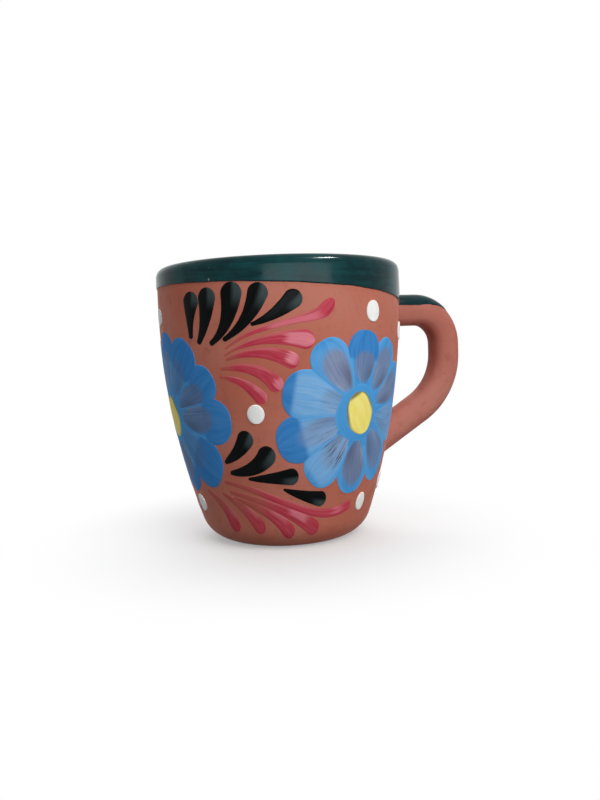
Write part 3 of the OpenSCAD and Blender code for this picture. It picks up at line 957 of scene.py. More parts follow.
def turned(name, line, closed, slide, sizes, material):
    """A half section, turned on the wheel."""
    points = [(r, 0.0, z) for r, z in line]
    chain = {"points": points, "marks": {"slide": slide}, "closed": closed}
    sizes = dict(sizes, **{"Steps round": STEPS_ROUND, "Swell depth": swell_depth, "Material": material})
    return make(name, thrown_form, sketch([chain]), sizes)


body_line = level(0.0, foot_x, 0.0, FOOT_STEPS)[:-1] + outer_line(0.0)[:-1] + lip_line(0.0)
body_line += hollow_line(0.0)[::-1][1:] + level(well_x, 0.0, floor_t, FLOOR_STEPS)[1:]
thrown_body = turned("thrown_body", body_line, False, [0.0] * len(body_line), {}, clay)
dress(thrown_body, "clay", "clay_body")

lining_top_z = cup_h - band_in_h
lining_last_step = 0.4 * MM
band_overlap = 0.3 * MM


def lining_line(coat):
    floor = level(0.0, well_x, floor_t + coat, FLOOR_STEPS)[:-1]
    wall = [point for point in hollow_line(coat) if point[1] < lining_top_z - lining_last_step]
    last = math.asin((lining_top_z - wide_z) / inner_arc_r)
    return floor + wall + arc(arc_x, wide_z, inner_arc_r - coat, last, last, 1)[:1]


lining = lining_line(glaze_t) + lining_line(-glaze_sink)[::-1]
inside_coat = turned("amber_lining_coat", lining, False, [0.0] * len(lining), {}, amber_glaze)
dress(inside_coat, "lining_glaze", "inner_glaze")

band_z = cup_h - band_h


def band_outer(coat):
    return outer_line(coat, band_z)


def band_inner(coat):
    return hollow_line(coat, lining_top_z - band_overlap)[::-1]


def band_slide(line):
    """How much of the brushed edge's drop each point of the band takes: none at the lip, all at the edge."""
    return [min(max((lip_z - z) / (lip_z - band_z), 0.0), 1.0) for r, z in line]


coat = glaze_t
under = -glaze_sink
edge_z = band_z - 0.12 * MM
bulge_z = edge_z - 0.08 * MM
edge_r = arc_point(wall_arc_r, edge_z)
edge = [(edge_r + under, edge_z), (edge_r + 0.5 * coat, bulge_z)]
outer_up = band_outer(coat)
band = edge + outer_up[:-1]
slides = [1.0] * len(edge) + band_slide(outer_up[:-1])
over = lip_line(coat)[:-1] + band_inner(coat)
inner_lip = lip_line(under)[::-1]
under_side = band_inner(under)[::-1][:-1] + inner_lip[:-1]
outer_down = band_outer(under)[::-1][:-1]
band += over + under_side + outer_down
slides += [0.0] * (len(over) + len(under_side)) + band_slide(outer_down)
rim_sizes = {"Edge slope": 2.5 * MM, "Handle dip": 3.7 * MM, "Edge waver": 0.7 * MM}
rim_coat = turned("green_rim_coat", band, True, slides, rim_sizes, green_glaze)
dress(rim_coat, "green_glaze", "rim_glaze")

# The handle: its path in its own plane, the green stroke on its top and the slip round its roots
top_bend_x = reach_x - top_bend_r
low_bend_x = reach_x - low_bend_r
top_bend_z = top_z - top_bend_r
low_bend_z = top_bend_z - grip_h
low_x = low_bend_x + low_bend_r * math.sin(low_slope)
low_z = low_bend_z - low_bend_r * math.cos(low_slope)


def wall_radius_at(z):
    return arc_point(wall_arc_r, z)


def straight(start, end, steps):
    """Points of a straight line, without its last."""
    run = end[0] - start[0]
    rise = end[1] - start[1]
    return [(start[0] + run * i / steps, start[1] + rise * i / steps) for i in range(steps)]


# Where the sloping limb meets the curved wall, found by closing in on it
low_root_x = cup_r
for closing_in in range(8):
    low_root_x = wall_radius_at(low_z - (low_x - low_root_x) * math.tan(low_slope))
low_root_z = low_z - (low_x - low_root_x) * math.tan(low_slope)

TOP_LIMB_STEPS = 12
TOP_BEND_STEPS = 22
LOW_BEND_STEPS = 24
LOW_LIMB_STEPS = 14
COIL_STEPS_ROUND = 80
top_root = (wall_radius_at(top_z), top_z)
low_root = (low_root_x, low_root_z)
top_limb = straight(top_root, (top_bend_x, top_z), TOP_LIMB_STEPS)
top_bend = arc(top_bend_x, top_bend_z, top_bend_r, math.pi / 2, 0.0, TOP_BEND_STEPS)
low_bend = arc(low_bend_x, low_bend_z, low_bend_r, 0.0, low_slope - math.pi / 2, LOW_BEND_STEPS)
low_limb = straight((low_x, low_z), low_root, LOW_LIMB_STEPS)[1:] + [low_root]
handle_path = top_limb + top_bend + low_bend + low_limb


def lengths_along(points):
    """How far along its line each point lies."""
    lengths = [0.0]
    for before, after in zip(points, points[1:]):
        lengths.append(lengths[-1] + math.dist(before, after))
    return lengths


def path_chain(points, whole, stroke=None):
    """A line in the handle's plane, marked with its share of the whole path and with a stroke's width."""
    lengths = lengths_along(points)
    marks = {"along": [length / whole for length in lengths]}
    if stroke:
        marks["stroke"] = [stroke(length / lengths[-1]) for length in lengths]
    return {"points": [(x, 0.0, z) for x, z in points], "marks": marks}


path_length = lengths_along(handle_path)[-1]
coil_chain = path_chain(handle_path, path_length)
coil_sizes = {
    "Corner radius": coil_corner_r,
    "Flat across": coil_w / 2 - coil_corner_r,
    "Flat out": coil_t / 2 - coil_corner_r,
    "Pull": 0.5 * MM,
    "Wall": thrown_body,
}
whole_coil = {"Steps round": COIL_STEPS_ROUND, "Material": handle_clay_painted_sheen}
coil_piece = make("pulled_handle_coil", pulled_handle, sketch([coil_chain]), dict(coil_sizes, **whole_coil))
dress(coil_piece, "clay", "clay_handle")

# The green stroke ends part of the way round the upper bend. Its points crowd toward that end
BRUSH_LIFTS_AT = 0.45
LIFT_POWER = 2.2
BLUNT_POWER = 0.8
CROWDING = 2.2
COAT_LIMB_STEPS = 14
COAT_BEND_STEPS = 26
coat_end = math.radians(52)


def lifted_end(share):
    """Full width until the brush starts to lift, then a blunt point."""
    lifting = max((share - BRUSH_LIFTS_AT) / (1 - BRUSH_LIFTS_AT), 0.0)
    return max(1.0 - lifting**LIFT_POWER, 0.0) ** BLUNT_POWER


coat_path = straight(top_root, (top_bend_x, top_z), COAT_LIMB_STEPS)
for i in range(COAT_BEND_STEPS + 1):
    turn = (1 - (1 - i / COAT_BEND_STEPS) ** CROWDING) * coat_end
    coat_path.append((top_bend_x + top_bend_r * math.sin(turn), top_bend_z + top_bend_r * math.cos(turn)))
coat_chain = path_chain(coat_path, path_length, lifted_end)
green_stroke = {
    "Half angle": math.radians(71), "Thickness": glaze_t, "Edge waver": 0.22, "Material": green_glaze,
}
coat_piece = make("green_handle_stroke", handle_coat, sketch([coat_chain]), dict(coil_sizes, **green_stroke))
dress(coat_piece, "green_glaze", "handle_glaze")

# Slip at the upper root takes the green of the band above it
upper_slip_clay = slip_clay.copy()
upper_slip_clay.name = "glazed_slip"
bench = Bench(upper_slip_clay.node_tree)
shader = upper_slip_clay.node_tree.nodes["Principled BSDF"].inputs
place = bench.object_place()
green_from_z = top_z + 2.3 * MM
green_full_z = top_z + 2.8 * MM
ragged = bench.times_plus(bench.grain(place, scale=300.0), 1.6 * MM, bench.parts(place)[2])
glazed = bench.ramp(ragged, green_from_z, green_full_z)
bare_colour = shader["Base Color"].links[0].from_socket
bare_gloss = shader["Roughness"].links[0].from_socket
bench.feed(shader["Base Color"], bench.blend(glazed, bare_colour, rgb(9, 36, 37)))
gloss = bench.add("ShaderNodeMapRange", {0: glazed, 3: bare_gloss, 4: 0.14}).outputs[0]
bench.feed(shader["Roughness"], gloss)

fillet_sizes = dict(coil_sizes, **{"Width": slip_w, "Height": slip_h})
upper_root = {
    "Root": (top_root[0], 0.0, top_z), "Inward": (-1.0, 0.0, 0.0),
    "Outward": (0.0, 0.0, 1.0), "Material": upper_slip_clay,
}
upper_slip = make("upper_slip_fillet", slip_fillet, sketch([]), dict(fillet_sizes, **upper_root))
dress(upper_slip, "slip", "upper_slip_joint")
slope_cos = math.cos(low_slope)
slope_sin = math.sin(low_slope)
lower_root = {
    "Root": (low_root_x, 0.0, low_root_z), "Inward": (-slope_cos, 0.0, -slope_sin),
    "Outward": (slope_sin, 0.0, -slope_cos), "Material": slip_clay,
}
lower_slip = make("lower_slip_fillet", slip_fillet, sketch([]), dict(fillet_sizes, **lower_root))
dress(lower_slip, "slip", "lower_slip_joint")

# Painting. The pattern is laid out flat: degrees round the cup and millimetres of height
FRONT_FLOWER = -71.0
MIDDLE_FLOWER = 180.0
BACK_FLOWER = 71.0
FRONT_PANEL = -125.5
BACK_PANEL = 125.5


def arc_length(degrees):
    return math.radians(degrees) * cup_r


def curve_point(points, t):
    """A point of the smooth curve that bends toward its inner control points."""
    while len(points) > 1:
        points = [tuple(a + (b - a) * t for a, b in zip(p, q)) for p, q in zip(points, points[1:])]
    return points[0]


def through(points, t):
    """A point of a smooth curve through all of its points, at t from 0 to 1."""
    spans = len(points) - 1
    i = min(int(t * spans), spans - 1)
    u = t * spans - i
    before = points[max(i - 1, 0)]
    start = points[i]
    end = points[i + 1]
    after = points[min(i + 2, spans)]
    return tuple(
        0.5 * (2 * b + (c - a) * u + (2 * a - 5 * b + 4 * c - d) * u**2 + (3 * b - a - 3 * c + d) * u**3)
        for a, b, c, d in zip(before, start, end, after)
    )


def chain_marks(centres, widths, seed, tints, closed=False):
    """The marks that each point of a chain carries: how far along it lies, its half width and its tints."""
    lengths = lengths_along(centres)
    count = len(centres)
    marks = {
        "half_width": widths,
        "along": [length / lengths[-1] for length in lengths],
        "seed": [seed] * count,
    }
    for name, value in tints.items():
        marks[name] = [value] * count
    return {"points": [(x, y, 0.0) for x, y in centres], "marks": marks, "closed": closed}


# Points along a stroke's tail, body and head and along a daub, and how far each layer rises over the last
TAIL_STEPS = 5
BODY_STEPS = 30
HEAD_STEPS = 14
DAUB_STEPS = 48
LAYER_STEP = 0.012 * MM

# How far apart the seeds of the bristle marks lie, from stroke to stroke and from layer to layer
STROKE_SEED = 3.7
ROW_SEED = 11.0
PETAL_SEED = 5.3
SPOKE_SEED = 7.9
FLICK_SEED = 40.0
RING_SEED = 60.0
HEART_SEED = 70.0


def stroke_chain(points, head_r, tail_r, swell, seed, tints, blunt=1.0):
    """A brush stroke in flat metres: a small round tail, a body that swells and a round or blunt head."""
    centres = []
    widths = []
    first = curve_point(points, 0.0)
    near_first = curve_point(points, 0.02)
    last = curve_point(points, 1.0)
    near_last = curve_point(points, 0.98)

    def beyond(end, near, distance):
        gap = math.dist(end, near)
        return tuple(a + (a - b) / gap * distance for a, b in zip(end, near))

    for i in range(TAIL_STEPS):
        turn = math.pi / 2 * i / TAIL_STEPS
        centres.append(beyond(first, near_first, tail_r * math.cos(turn)))
        widths.append(tail_r * math.sin(turn))
    for i in range(BODY_STEPS + 1):
        t = i / BODY_STEPS
        centres.append(curve_point(points, t))
        widths.append(tail_r + (head_r - tail_r) * t**swell)
    for i in range(1, HEAD_STEPS + 1):
        turn = math.pi / 2 * i / HEAD_STEPS
        centres.append(beyond(last, near_last, head_r * math.sin(turn)))
        widths.append(head_r * max(math.cos(turn), 0.0) ** blunt)
    return chain_marks(centres, widths, seed, tints)


def blob_chain(points, seed, closed=False, tints=None):
    """A daub or a ring from points of x, height and half width, in metres."""
    if closed:
        points = points + points[:1]
        shares = [i / DAUB_STEPS for i in range(DAUB_STEPS)]
    else:
        shares = [(1 - math.cos(math.pi * i / DAUB_STEPS)) / 2 for i in range(DAUB_STEPS + 1)]
    spots = [through(points, t) for t in shares]
    widths = [max(w, 0.0) for x, y, w in spots]
    return chain_marks([(x, y) for x, y, w in spots], widths, seed, tints or {"layer": 0.0}, closed)


# The paints, looked up by the name of a slot
PAINTS = {
    "black_paint": black_paint,
    "red_paint": red_paint,
    "blue_paint": blue_paint,
    "yellow_paint": yellow_paint,
    "white_paint": white_paint,
}


def painted(name, chains, slot, node, thickness, bristle=0.03 * MM, roundness=0.5, steps=24):
    """Brushes chains onto the wall as one piece, in the paint of a slot."""
    sizes = {
        "Cup radius": cup_r, "Thickness": thickness, "Layer step": LAYER_STEP, "Bristle depth": bristle,
        "Roundness": roundness, "Steps across": steps, "Swell depth": swell_depth, "Material": PAINTS[slot],
    }
    dress(make(name, brushed_paint, sketch(chains), sizes), slot, node)


# Strokes of a panel, from tail to head: degrees from the panel's middle and millimetres up, half width of the
# head and of the tail in millimetres, and how late the stroke swells
UPPER_BLACK = [
    ([(-26.3, 69.0), (-26.4, 74.0), (-25.2, 79.1)], 3.3, 0.95, 1.6),
    ([(-21.5, 67.2), (-16.9, 72.5), (-16.1, 80.0)], 3.2, 0.95, 1.2),
    ([(-14.9, 66.6), (-5.8, 70.5), (-4.4, 80.9)], 3.45, 0.85, 1.3),
    ([(-8.3, 67.6), (3.0, 71.8), (6.9, 80.6)], 3.15, 0.75, 1.2),
    ([(4.2, 71.7), (13.0, 73.4), (21.3, 78.6)], 2.9, 0.6, 1.2),
]
LOWER_BLACK = [
    ([(-15.3, 29.9), (-7.2, 32.6), (-3.2, 37.0)], 2.95, 0.7, 0.8),
    ([(-13.1, 26.4), (0.8, 26.8), (6.6, 31.8)], 3.3, 0.7, 0.8),
    ([(-3.5, 24.6), (9.5, 24.7), (18.5, 25.1)], 2.75, 0.45, 0.85),
    ([(14.7, 21.0), (24.5, 18.6), (34.6, 17.2)], 2.6, 0.45, 0.85),
]
# Red strokes end with where the pink at the head shows, partly the brush's second colour and partly a painted
# reflection: how much, from and to where along it and to which side, and then with how far the red has faded
# into the clay
UPPER_RED = [
    ([(-9.0, 62.7), (7.0, 69.0), (26.0, 66.7)], 2.95, 0.4, 1.6, (0.85, 0.74, 1.1, 0.0, 0.0)),
    ([(-8.2, 61.5), (7.0, 65.4), (19.8, 60.7)], 2.55, 0.5, 1.0, (0.95, 0.87, 1.0, 0.3, 0.0)),
    ([(-10.8, 58.8), (5.5, 60.2), (12.7, 53.9)], 2.5, 0.6, 0.9, (0.75, 0.9, 1.05, 0.45, 0.0)),
    ([(-12.0, 56.3), (-1.5, 55.9), (5.9, 50.0)], 2.15, 0.5, 1.2, (0.5, 0.72, 1.05, 1.0, 0.0)),
]
LOWER_RED = [
    ([(-18.3, 23.2), (5.5, 21.9), (25.5, 10.8), (40.5, 10.5), (54.3, 13.4)], 1.8, 0.7, 0.7,
     (0.6, 0.88, 0.94, 0.3, 0.1)),
    ([(-15.8, 20.0), (11.5, 16.6), (31.5, 7.7)], 2.9, 0.7, 1.3, (0.8, 0.66, 0.86, 0.55, 0.25)),
    ([(-14.0, 18.0), (7.5, 14.4), (16.0, 7.2)], 3.0, 0.7, 1.2, (0.3, 0.6, 0.85, 0.9, 0.32)),
    ([(-21.5, 19.2), (-8.0, 15.0), (-1.6, 8.8)], 2.85, 0.7, 1.1, (0.2, 0.6, 0.8, 0.9, 0.4)),
    ([(-33.9, 19.5), (-22.5, 15.8), (-18.9, 9.3)], 3.2, 0.7, 1.0, (0.2, 0.6, 0.8, 0.9, 0.4)),
]
# The long red flick under the black strokes: degrees, millimetres up and half width
RED_FLICK = [
    (-8.5, 64.7, 0.4), (-0.9, 67.8, 0.6), (5.2, 69.5, 0.7), (11.1, 70.6, 0.75),
    (16.9, 71.6, 0.85), (21.9, 72.4, 1.05), (26.9, 73.1, 1.3), (31.7, 74.0, 1.75),
    (34.6, 75.1, 2.1), (36.7, 76.5, 1.95), (38.2, 77.9, 1.2), (38.9, 78.7, 0.0),
]
FLICK_PINK = (0.55, 0.45, 0.86, -0.2, 0.0)
PINK = ("pink", "pink_from", "pink_to", "pink_side", "faded")


def panel_chains(strokes, middle, seed):
    """A row of strokes, laid out about the middle of its panel."""
    chains = []
    for number, (points, head, tail, swell, *second_colour) in enumerate(strokes):
        flat_points = [(arc_length(middle + a), z * MM) for a, z in points]
        tints = {"layer": 0.0}
        if second_colour:
            tints.update(zip(PINK, second_colour[0]))
        stroke_seed = seed + STROKE_SEED * number
        chains.append(stroke_chain(flat_points, head * MM, tail * MM, swell, stroke_seed, tints))
    return chains


def red_flick(middle):
    rows = [(arc_length(middle + a), z * MM, half * MM) for a, z, half in RED_FLICK]
    return blob_chain(rows, middle + FLICK_SEED, False, dict(zip(PINK, FLICK_PINK), layer=0.0))


PANEL_STROKES = [
    ("upper_black", UPPER_BLACK, "black_paint", black_t),
    ("upper_red", UPPER_RED, "red_paint", red_t),
    ("lower_black", LOWER_BLACK, "black_paint", black_t),
    ("lower_red", LOWER_RED, "red_paint", red_t),
]
for side_name, middle in (("front", FRONT_PANEL), ("back", BACK_PANEL)):
    for number, (name, strokes, slot, thickness) in enumerate(PANEL_STROKES):
        chains = panel_chains(strokes, middle, ROW_SEED * number + middle)
        if name == "upper_red":
            chains.append(red_flick(middle))
        node = f"{side_name}_{name}_strokes"
        painted(f"{side_name}_{name}_brushwork", chains, slot, node, thickness)

# Petals of each flower, the undermost first: direction in degrees, reach and half width in millimetres, then
# how much mauve wash its core has, how dark that is, how pale its body is, to which side the core lies, how
# many dry bristle lines show, where along it the wash starts and ends, and where its plain blue tip starts
PETAL_TINTS = ("mauve", "tone", "pale", "lean", "lines", "core_start", "core_end", "plain_from")
FRONT_PETALS = [
    (-10, 30.5, 7.4, (0.35, 0.3, 0.6, 0.0, 0.2, 0.18, 0.8, 1.2)),
    (22, 29.0, 7.2, (0.9, 0.5, 0.0, 0.0, 0.1, 0.18, 0.86, 1.2)),
    (311, 28.0, 7.9, (0.8, 0.6, 0.1, 0.0, 0.1, 0.18, 0.84, 1.2)),
    (54, 26.9, 6.6, (0.9, 0.5, 0.0, 0.0, 0.1, 0.2, 0.88, 1.2)),
    (228, 27.7, 7.5, (0.5, 0.1, 0.9, 0.0, 1.0, -0.2, 0.72, 1.2)),
    (269, 25.7, 7.7, (1.0, 0.6, 0.0, 0.0, 0.1, 0.2, 0.9, 1.2)),
    (196, 31.4, 7.6, (0.5, 0.0, 0.8, 0.0, 0.3, -0.3, 0.72, 0.66)),
    (88, 25.6, 7.2, (0.85, 0.6, 0.0, -0.1, 0.1, 0.24, 0.7, 0.58)),
    (162, 29.0, 8.0, (0.35, 0.05, 1.0, -0.05, 0.2, -0.2, 0.5, 0.86)),
    (126, 27.4, 6.9, (1.0, 0.25, 0.3, -0.1, 0.1, 0.2, 0.84, 1.2)),
]
MIDDLE_PETALS = [
    (283, 25.4, 7.2, (0.85, 0.7, 0.0, 0.0, 0.1, 0.18, 0.8, 0.7)),
    (83, 27.5, 6.6, (0.6, 0.4, 0.2, 0.0, 0.1, 0.18, 0.75, 0.62)),
    (243, 27.4, 7.2, (0.5, 0.2, 0.8, 0.0, 0.8, -0.2, 0.7, 1.2)),
    (25, 30.4, 6.6, (0.75, 0.85, 0.0, -0.15, 0.1, 0.18, 0.74, 0.6)),
    (53, 29.6, 7.4, (0.4, 0.8, 0.0, 0.0, 0.1, 0.18, 0.7, 0.55)),
    (-2, 32.5, 7.4, (0.75, 0.8, 0.0, 0.1, 0.1, 0.18, 0.74, 0.6)),
    (322, 30.9, 8.6, (0.3, 0.8, 0.0, 0.0, 0.1, 0.18, 0.7, 0.5)),
    (205, 30.0, 7.5, (0.9, 0.2, 0.3, 0.0, 0.3, -0.3, 0.7, 0.66)),
    (160, 29.5, 7.7, (0.35, 0.1, 0.9, 0.0, 0.2, -0.2, 0.55, 0.86)),
    (120, 27.5, 7.0, (1.0, 0.3, 0.3, -0.1, 0.1, 0.2, 0.82, 1.2)),
]
BACK_PETALS = [
    (-7, 30.8, 7.4, (0.6, 0.5, 0.4, 0.0, 0.2, 0.18, 0.76, 0.8)),
    (26, 29.4, 7.1, (0.9, 0.7, 0.0, 0.0, 0.1, 0.18, 0.8, 1.2)),
    (314, 28.4, 7.9, (0.7, 0.6, 0.1, 0.0, 0.1, 0.18, 0.8, 1.2)),
    (58, 27.2, 6.7, (0.9, 0.5, 0.0, 0.0, 0.1, 0.2, 0.84, 1.2)),
    (232, 27.5, 7.4, (0.5, 0.15, 0.9, 0.0, 0.9, -0.2, 0.72, 1.2)),
    (273, 25.9, 7.6, (1.0, 0.55, 0.0, 0.0, 0.1, 0.2, 0.86, 1.2)),
    (199, 31.0, 7.6, (0.9, 0.1, 0.3, 0.0, 0.3, -0.3, 0.72, 0.66)),
    (92, 26.0, 7.2, (0.85, 0.5, 0.0, -0.1, 0.1, 0.24, 0.72, 0.6)),
    (165, 29.2, 7.9, (0.35, 0.1, 0.95, 0.0, 0.2, -0.2, 0.5, 0.86)),
    (129, 27.5, 7.0, (1.0, 0.3, 0.3, -0.12, 0.1, 0.2, 0.82, 1.2)),
]
# A flower in millimetres: its heart, a leaning oval, the roots and ends of petals and spokes, and its ring
HEART_LEAN = math.radians(25)
HEART_LONG = 7.0
HEART_WIDE = 5.9
PETAL_ROOT = 7.8
PETAL_BEND = 0.8
SPOKE_REACH = 15.5
SPOKE_SWING = 1.5
SPOKE_MIDDLE = 12.0
SPOKE_ROOT = 8.5
SPOKE_HALF_WIDTH = 1.15
SPOKE_TIP = 0.2
RING_REACH = 9.1
RING_LOPSIDED = 1.3
RING_WAVER = 0.35
RING_WIDE_SIDE = math.radians(170)
RING_UNDER_HEART = 0.9
RING_STEPS = 24
HEART_STEPS = 24


def heart_edge(turn):
    """How far a yellow heart, a leaning oval, reaches in a direction, in millimetres."""
    from_axis = turn - HEART_LEAN - math.pi / 2
    return 1 / math.hypot(math.cos(from_axis) / HEART_LONG, math.sin(from_axis) / HEART_WIDE)


def ring_point(turn, seed):
    """A place on the blue ring, which runs in under the heart and is widest on its left."""
    inner = heart_edge(turn) - RING_UNDER_HEART
    lopsided = RING_LOPSIDED * math.cos(turn - RING_WIDE_SIDE)
    outer = RING_REACH + lopsided + RING_WAVER * math.sin(3 * turn + seed)
    middle = (inner + outer) / 2
    return middle * math.cos(turn), middle * math.sin(turn), (outer - inner) / 2


def petal_chain(number, petal, flat_point, middle):
    """One petal: a slightly bent stroke from the heart outward, blunt at its tip."""
    direction, reach, half, tints = petal
    way_x = math.cos(math.radians(direction))
    way_y = math.sin(math.radians(direction))
    bend = PETAL_BEND * math.sin(2.4 * number + middle)
    tip = reach - half
    points = []
    for out, aside in ((PETAL_ROOT, 0.0), ((PETAL_ROOT + tip) / 2, bend), (tip, 0.0)):
        points.append(flat_point(way_x * out - way_y * aside, way_y * out + way_x * aside))
    tints = dict(zip(PETAL_TINTS, tints), layer=number)
    seed = middle + PETAL_SEED * number
    return stroke_chain(points, half * MM, half * 0.5 * MM, 0.9, seed, tints, blunt=0.8)


def flower(side_name, middle, petals):
    """Petals, the blue spokes between them and a blue ring as one piece, and the yellow heart as another."""
    centre_x = arc_length(middle)

    def flat_point(x, y):
        return centre_x + x * MM, flower_z + y * MM

    chains = [petal_chain(number, petal, flat_point, middle) for number, petal in enumerate(petals)]
    plain_tints = dict(dict.fromkeys(PETAL_TINTS, 0.0), core_end=1.0, plain_from=1.2)
    turns = sorted(direction % 360 for direction, reach, half, tints in petals)
    for number, (turn, next_turn) in enumerate(zip(turns, turns[1:] + [turns[0] + 360])):
        between = math.radians((turn + next_turn) / 2)
        reach = SPOKE_REACH + SPOKE_SWING * math.sin(1.9 * number + middle)
        points = []
        for out in (reach, SPOKE_MIDDLE, SPOKE_ROOT):
            points.append(flat_point(out * math.cos(between), out * math.sin(between)))
        tints = dict(plain_tints, layer=len(petals))
        seed = middle + SPOKE_SEED * number
        chains.append(stroke_chain(points, SPOKE_HALF_WIDTH * MM, SPOKE_TIP * MM, 1.2, seed, tints))
    ring = []
    for i in range(RING_STEPS):
        x, y, half = ring_point(2 * math.pi * i / RING_STEPS, middle)
        ring.append((*flat_point(x, y), half * MM))
    chains.append(blob_chain(ring, middle + RING_SEED, True, dict(plain_tints, layer=len(petals) + 1)))
    painted(
        f"{side_name}_petal_brushwork", chains, "blue_paint", f"{side_name}_flower_petals",
        blue_t, bristle=0.02 * MM, roundness=0.35, steps=32,
    )
    heart = []
    for i in range(HEART_STEPS + 1):
        turn = math.pi * i / HEART_STEPS
        along = HEART_LONG * math.cos(turn)
        half = HEART_WIDE * math.sin(turn) * (1 + 0.03 * math.sin(5 * turn + middle))
        heart.append((*flat_point(-along * math.sin(HEART_LEAN), along * math.cos(HEART_LEAN)), half * MM))
    painted(
        f"{side_name}_heart_daub", [blob_chain(heart, middle + HEART_SEED)], "yellow_paint",
        f"{side_name}_flower_heart", yellow_t, bristle=0.08 * MM, roundness=0.4,
    )


flower("front", FRONT_FLOWER, FRONT_PETALS)
flower("middle", MIDDLE_FLOWER, MIDDLE_PETALS)
flower("back", BACK_FLOWER, BACK_PETALS)

DOT_STEPS = 20


def dot_chain(degrees, height, wide, tall, seed):
    """A white dot pressed on with the brush's end, as half sizes in millimetres."""
    points = []
    for i in range(DOT_STEPS + 1):
        turn = math.pi * i / DOT_STEPS
        z = height - tall * math.cos(turn)
        points.append((arc_length(degrees), z * MM, wide * math.sin(turn) * MM))
    return blob_chain(points, seed)


# Dots above and below each flower: degrees, millimetres up, half width and half height in millimetres
FLOWER_DOTS = [
    (FRONT_FLOWER + 5.9, 74.7, 3.0, 3.35), (FRONT_FLOWER + 11.0, 13.8, 2.9, 3.0),
    (MIDDLE_FLOWER - 2.0, 75.7, 2.9, 2.8), (MIDDLE_FLOWER + 8.2, 14.5, 3.3, 2.9),
    (BACK_FLOWER + 4.6, 74.9, 3.0, 3.1), (BACK_FLOWER + 9.6, 14.2, 3.0, 2.9),
]
dots = [dot_chain(turn, height, wide, tall, turn + height) for turn, height, wide, tall in FLOWER_DOTS]
painted("flower_dot_daubs", dots, "white_paint", "flower_dots", white_t)
dots = [dot_chain(middle + 3.2, 44.9, 2.9, 2.95, middle) for middle in (FRONT_PANEL, BACK_PANEL)]
painted("panel_dot_daubs", dots, "white_paint", "panel_dots", white_t)
dots = [dot_chain(turn, height, 2.9, 3.1, turn + height) for turn in (-33.0, 30.0) for height in (68.7, 18.4)]
painted("handle_dot_daubs", dots, "white_paint", "handle_dots", white_t)


# Floor, light and camera. The floor and the world are white to the eye and in gloss, but light the mug less
def seen_white(bench):
    """1 for rays that show the background: straight, mirrored or through glass."""
    light_path = bench.add("ShaderNodeLightPath").outputs
    seen = bench.calc("MAXIMUM", light_path["Is Camera Ray"], light_path["Is Glossy Ray"])
    return bench.calc("MAXIMUM", seen, light_path["Is Transmission Ray"])


FLOOR_HALF = 4
FADE_START = 20 * MM
FADE_END = 95 * MM
floor_mesh = bpy.data.meshes.new("floor")
floor_corners = [(FLOOR_HALF * x, FLOOR_HALF * y, 0) for x, y in ((-1, -1), (1, -1), (1, 1), (-1, 1))]
floor_mesh.from_pydata(floor_corners, [], [(0, 1, 2, 3)])
floor = bpy.data.objects.new("floor", floor_mesh)
bpy.context.scene.collection.objects.link(floor)
floor_white = bpy.data.materials.new("pale_floor")
floor_white.use_nodes = True
bench = Bench(floor_white.node_tree)
floor_white.node_tree.nodes.remove(floor_white.node_tree.nodes["Principled BSDF"])
place = bench.object_place()
distance = bench.add("ShaderNodeVectorMath", {0: place}, operation="LENGTH").outputs["Value"]
seen = seen_white(bench)
near_colour = bench.blend(seen, rgb(122, 118, 114), rgb(250, 250, 249))
near = bench.add("ShaderNodeBsdfDiffuse", {"Color": near_colour}).outputs[0]
far = bench.add("ShaderNodeEmission", {"Color": (1.0, 1.0, 1.0, 1.0), "Strength": 1.0}).outputs[0]
fade = bench.times(bench.ramp(distance, FADE_START, FADE_END, 0.3, 1.0), seen)
mixed = bench.add("ShaderNodeMixShader", {0: fade, 1: near, 2: far}).outputs[0]
bench.feed(floor_white.node_tree.nodes["Material Output"].inputs["Surface"], mixed)
floor_mesh.materials.append(floor_white)

world = bpy.data.worlds.new("studio")
bpy.context.scene.world = world
world.use_nodes = True
bench = Bench(world.node_tree)
backdrop = world.node_tree.nodes["Background"].inputs
bench.feed(backdrop["Color"], bench.blend(seen_white(bench), rgb(136, 138, 142), rgb(255, 255, 255)))

CAMERA_TURN = math.radians(-110)
CAMERA_DISTANCE = 260 * MM
CAMERA_HEIGHT = 65.18 * MM
CAMERA_ROLL = math.radians(-2.11)
CAMERA_AIM = Vector((5.76 * MM, -2.01 * MM, 45.95 * MM))
LAMPS_AIM = Vector((0.0, 0.0, 50 * MM))


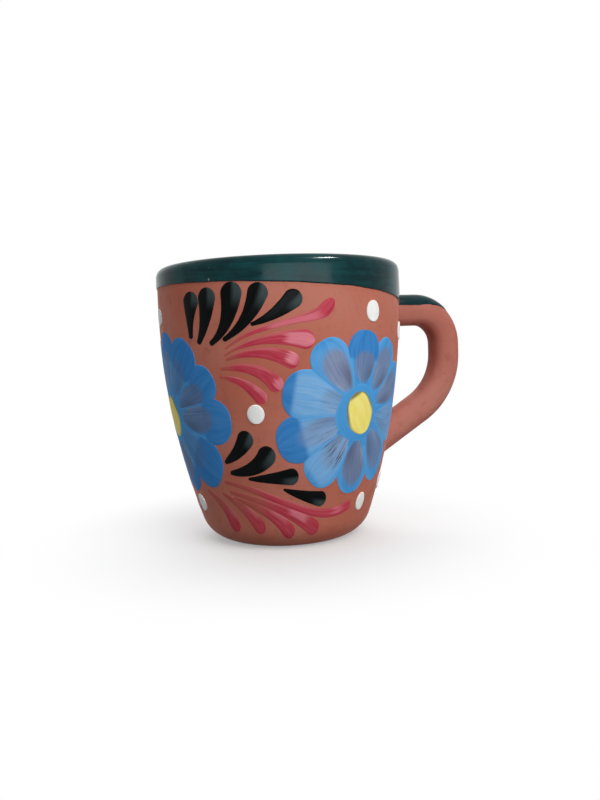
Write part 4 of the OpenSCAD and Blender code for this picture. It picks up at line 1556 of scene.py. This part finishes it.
def lamp(name, turn, elevation, distance, wide, tall, watts, colour, only_gloss=False):
    """A box of light round the mug, turned to the right of the camera: soft, or seen only in gloss."""
    light = bpy.data.lights.new(name, "AREA")
    light.shape = "RECTANGLE"
    light.size = wide
    light.size_y = tall
    light.energy = watts
    light.color = colour
    holder = bpy.data.objects.new(name, light)
    bpy.context.scene.collection.objects.link(holder)
    angle = CAMERA_TURN + math.radians(turn)
    rise = math.radians(elevation)
    away = Vector((math.cos(angle) * math.cos(rise), math.sin(angle) * math.cos(rise), math.sin(rise)))
    holder.location = LAMPS_AIM + away * distance
    holder.rotation_euler = away.to_track_quat("Z", "Y").to_euler()
    holder.visible_diffuse = not only_gloss
    holder.visible_glossy = only_gloss


lamp(
    "window_box", turn=32, elevation=28, distance=0.7, wide=0.62, tall=0.6, watts=4.3,
    colour=(1.0, 0.99, 0.97),
)
lamp(
    "window_gloss", turn=17, elevation=9, distance=0.7, wide=0.78, tall=0.13, watts=2.3,
    colour=(0.9, 1.0, 1.02), only_gloss=True,
)
lamp(
    "left_box", turn=-75, elevation=20, distance=0.8, wide=0.8, tall=0.7, watts=0.75,
    colour=(0.99, 0.99, 1.0),
)
lamp(
    "lip_glint", turn=64, elevation=57, distance=0.7, wide=0.16, tall=0.08, watts=6.0,
    colour=(1.0, 1.0, 1.0), only_gloss=True,
)
lamp(
    "back_left_box", turn=-160, elevation=35, distance=0.9, wide=0.7, tall=0.5, watts=3.0,
    colour=(0.97, 0.98, 1.0),
)
lamp(
    "back_right_box", turn=158, elevation=34, distance=0.9, wide=0.6, tall=0.5, watts=2.1,
    colour=(1.0, 1.0, 1.0),
)

view = bpy.data.cameras.new("view")
view.lens = 33.69
view.sensor_width = 36.0
view.clip_start = 0.01
view.clip_end = 20.0
camera = bpy.data.objects.new("view", view)
bpy.context.scene.collection.objects.link(camera)
camera_x = CAMERA_DISTANCE * math.cos(CAMERA_TURN)
camera_y = CAMERA_DISTANCE * math.sin(CAMERA_TURN)
camera.location = Vector((camera_x, camera_y, CAMERA_HEIGHT))
straight_on = (CAMERA_AIM - camera.location).to_track_quat("-Z", "Y")
camera.rotation_mode = "QUATERNION"
camera.rotation_quaternion = straight_on @ Quaternion((0.0, 0.0, 1.0), CAMERA_ROLL)
bpy.context.scene.camera = camera
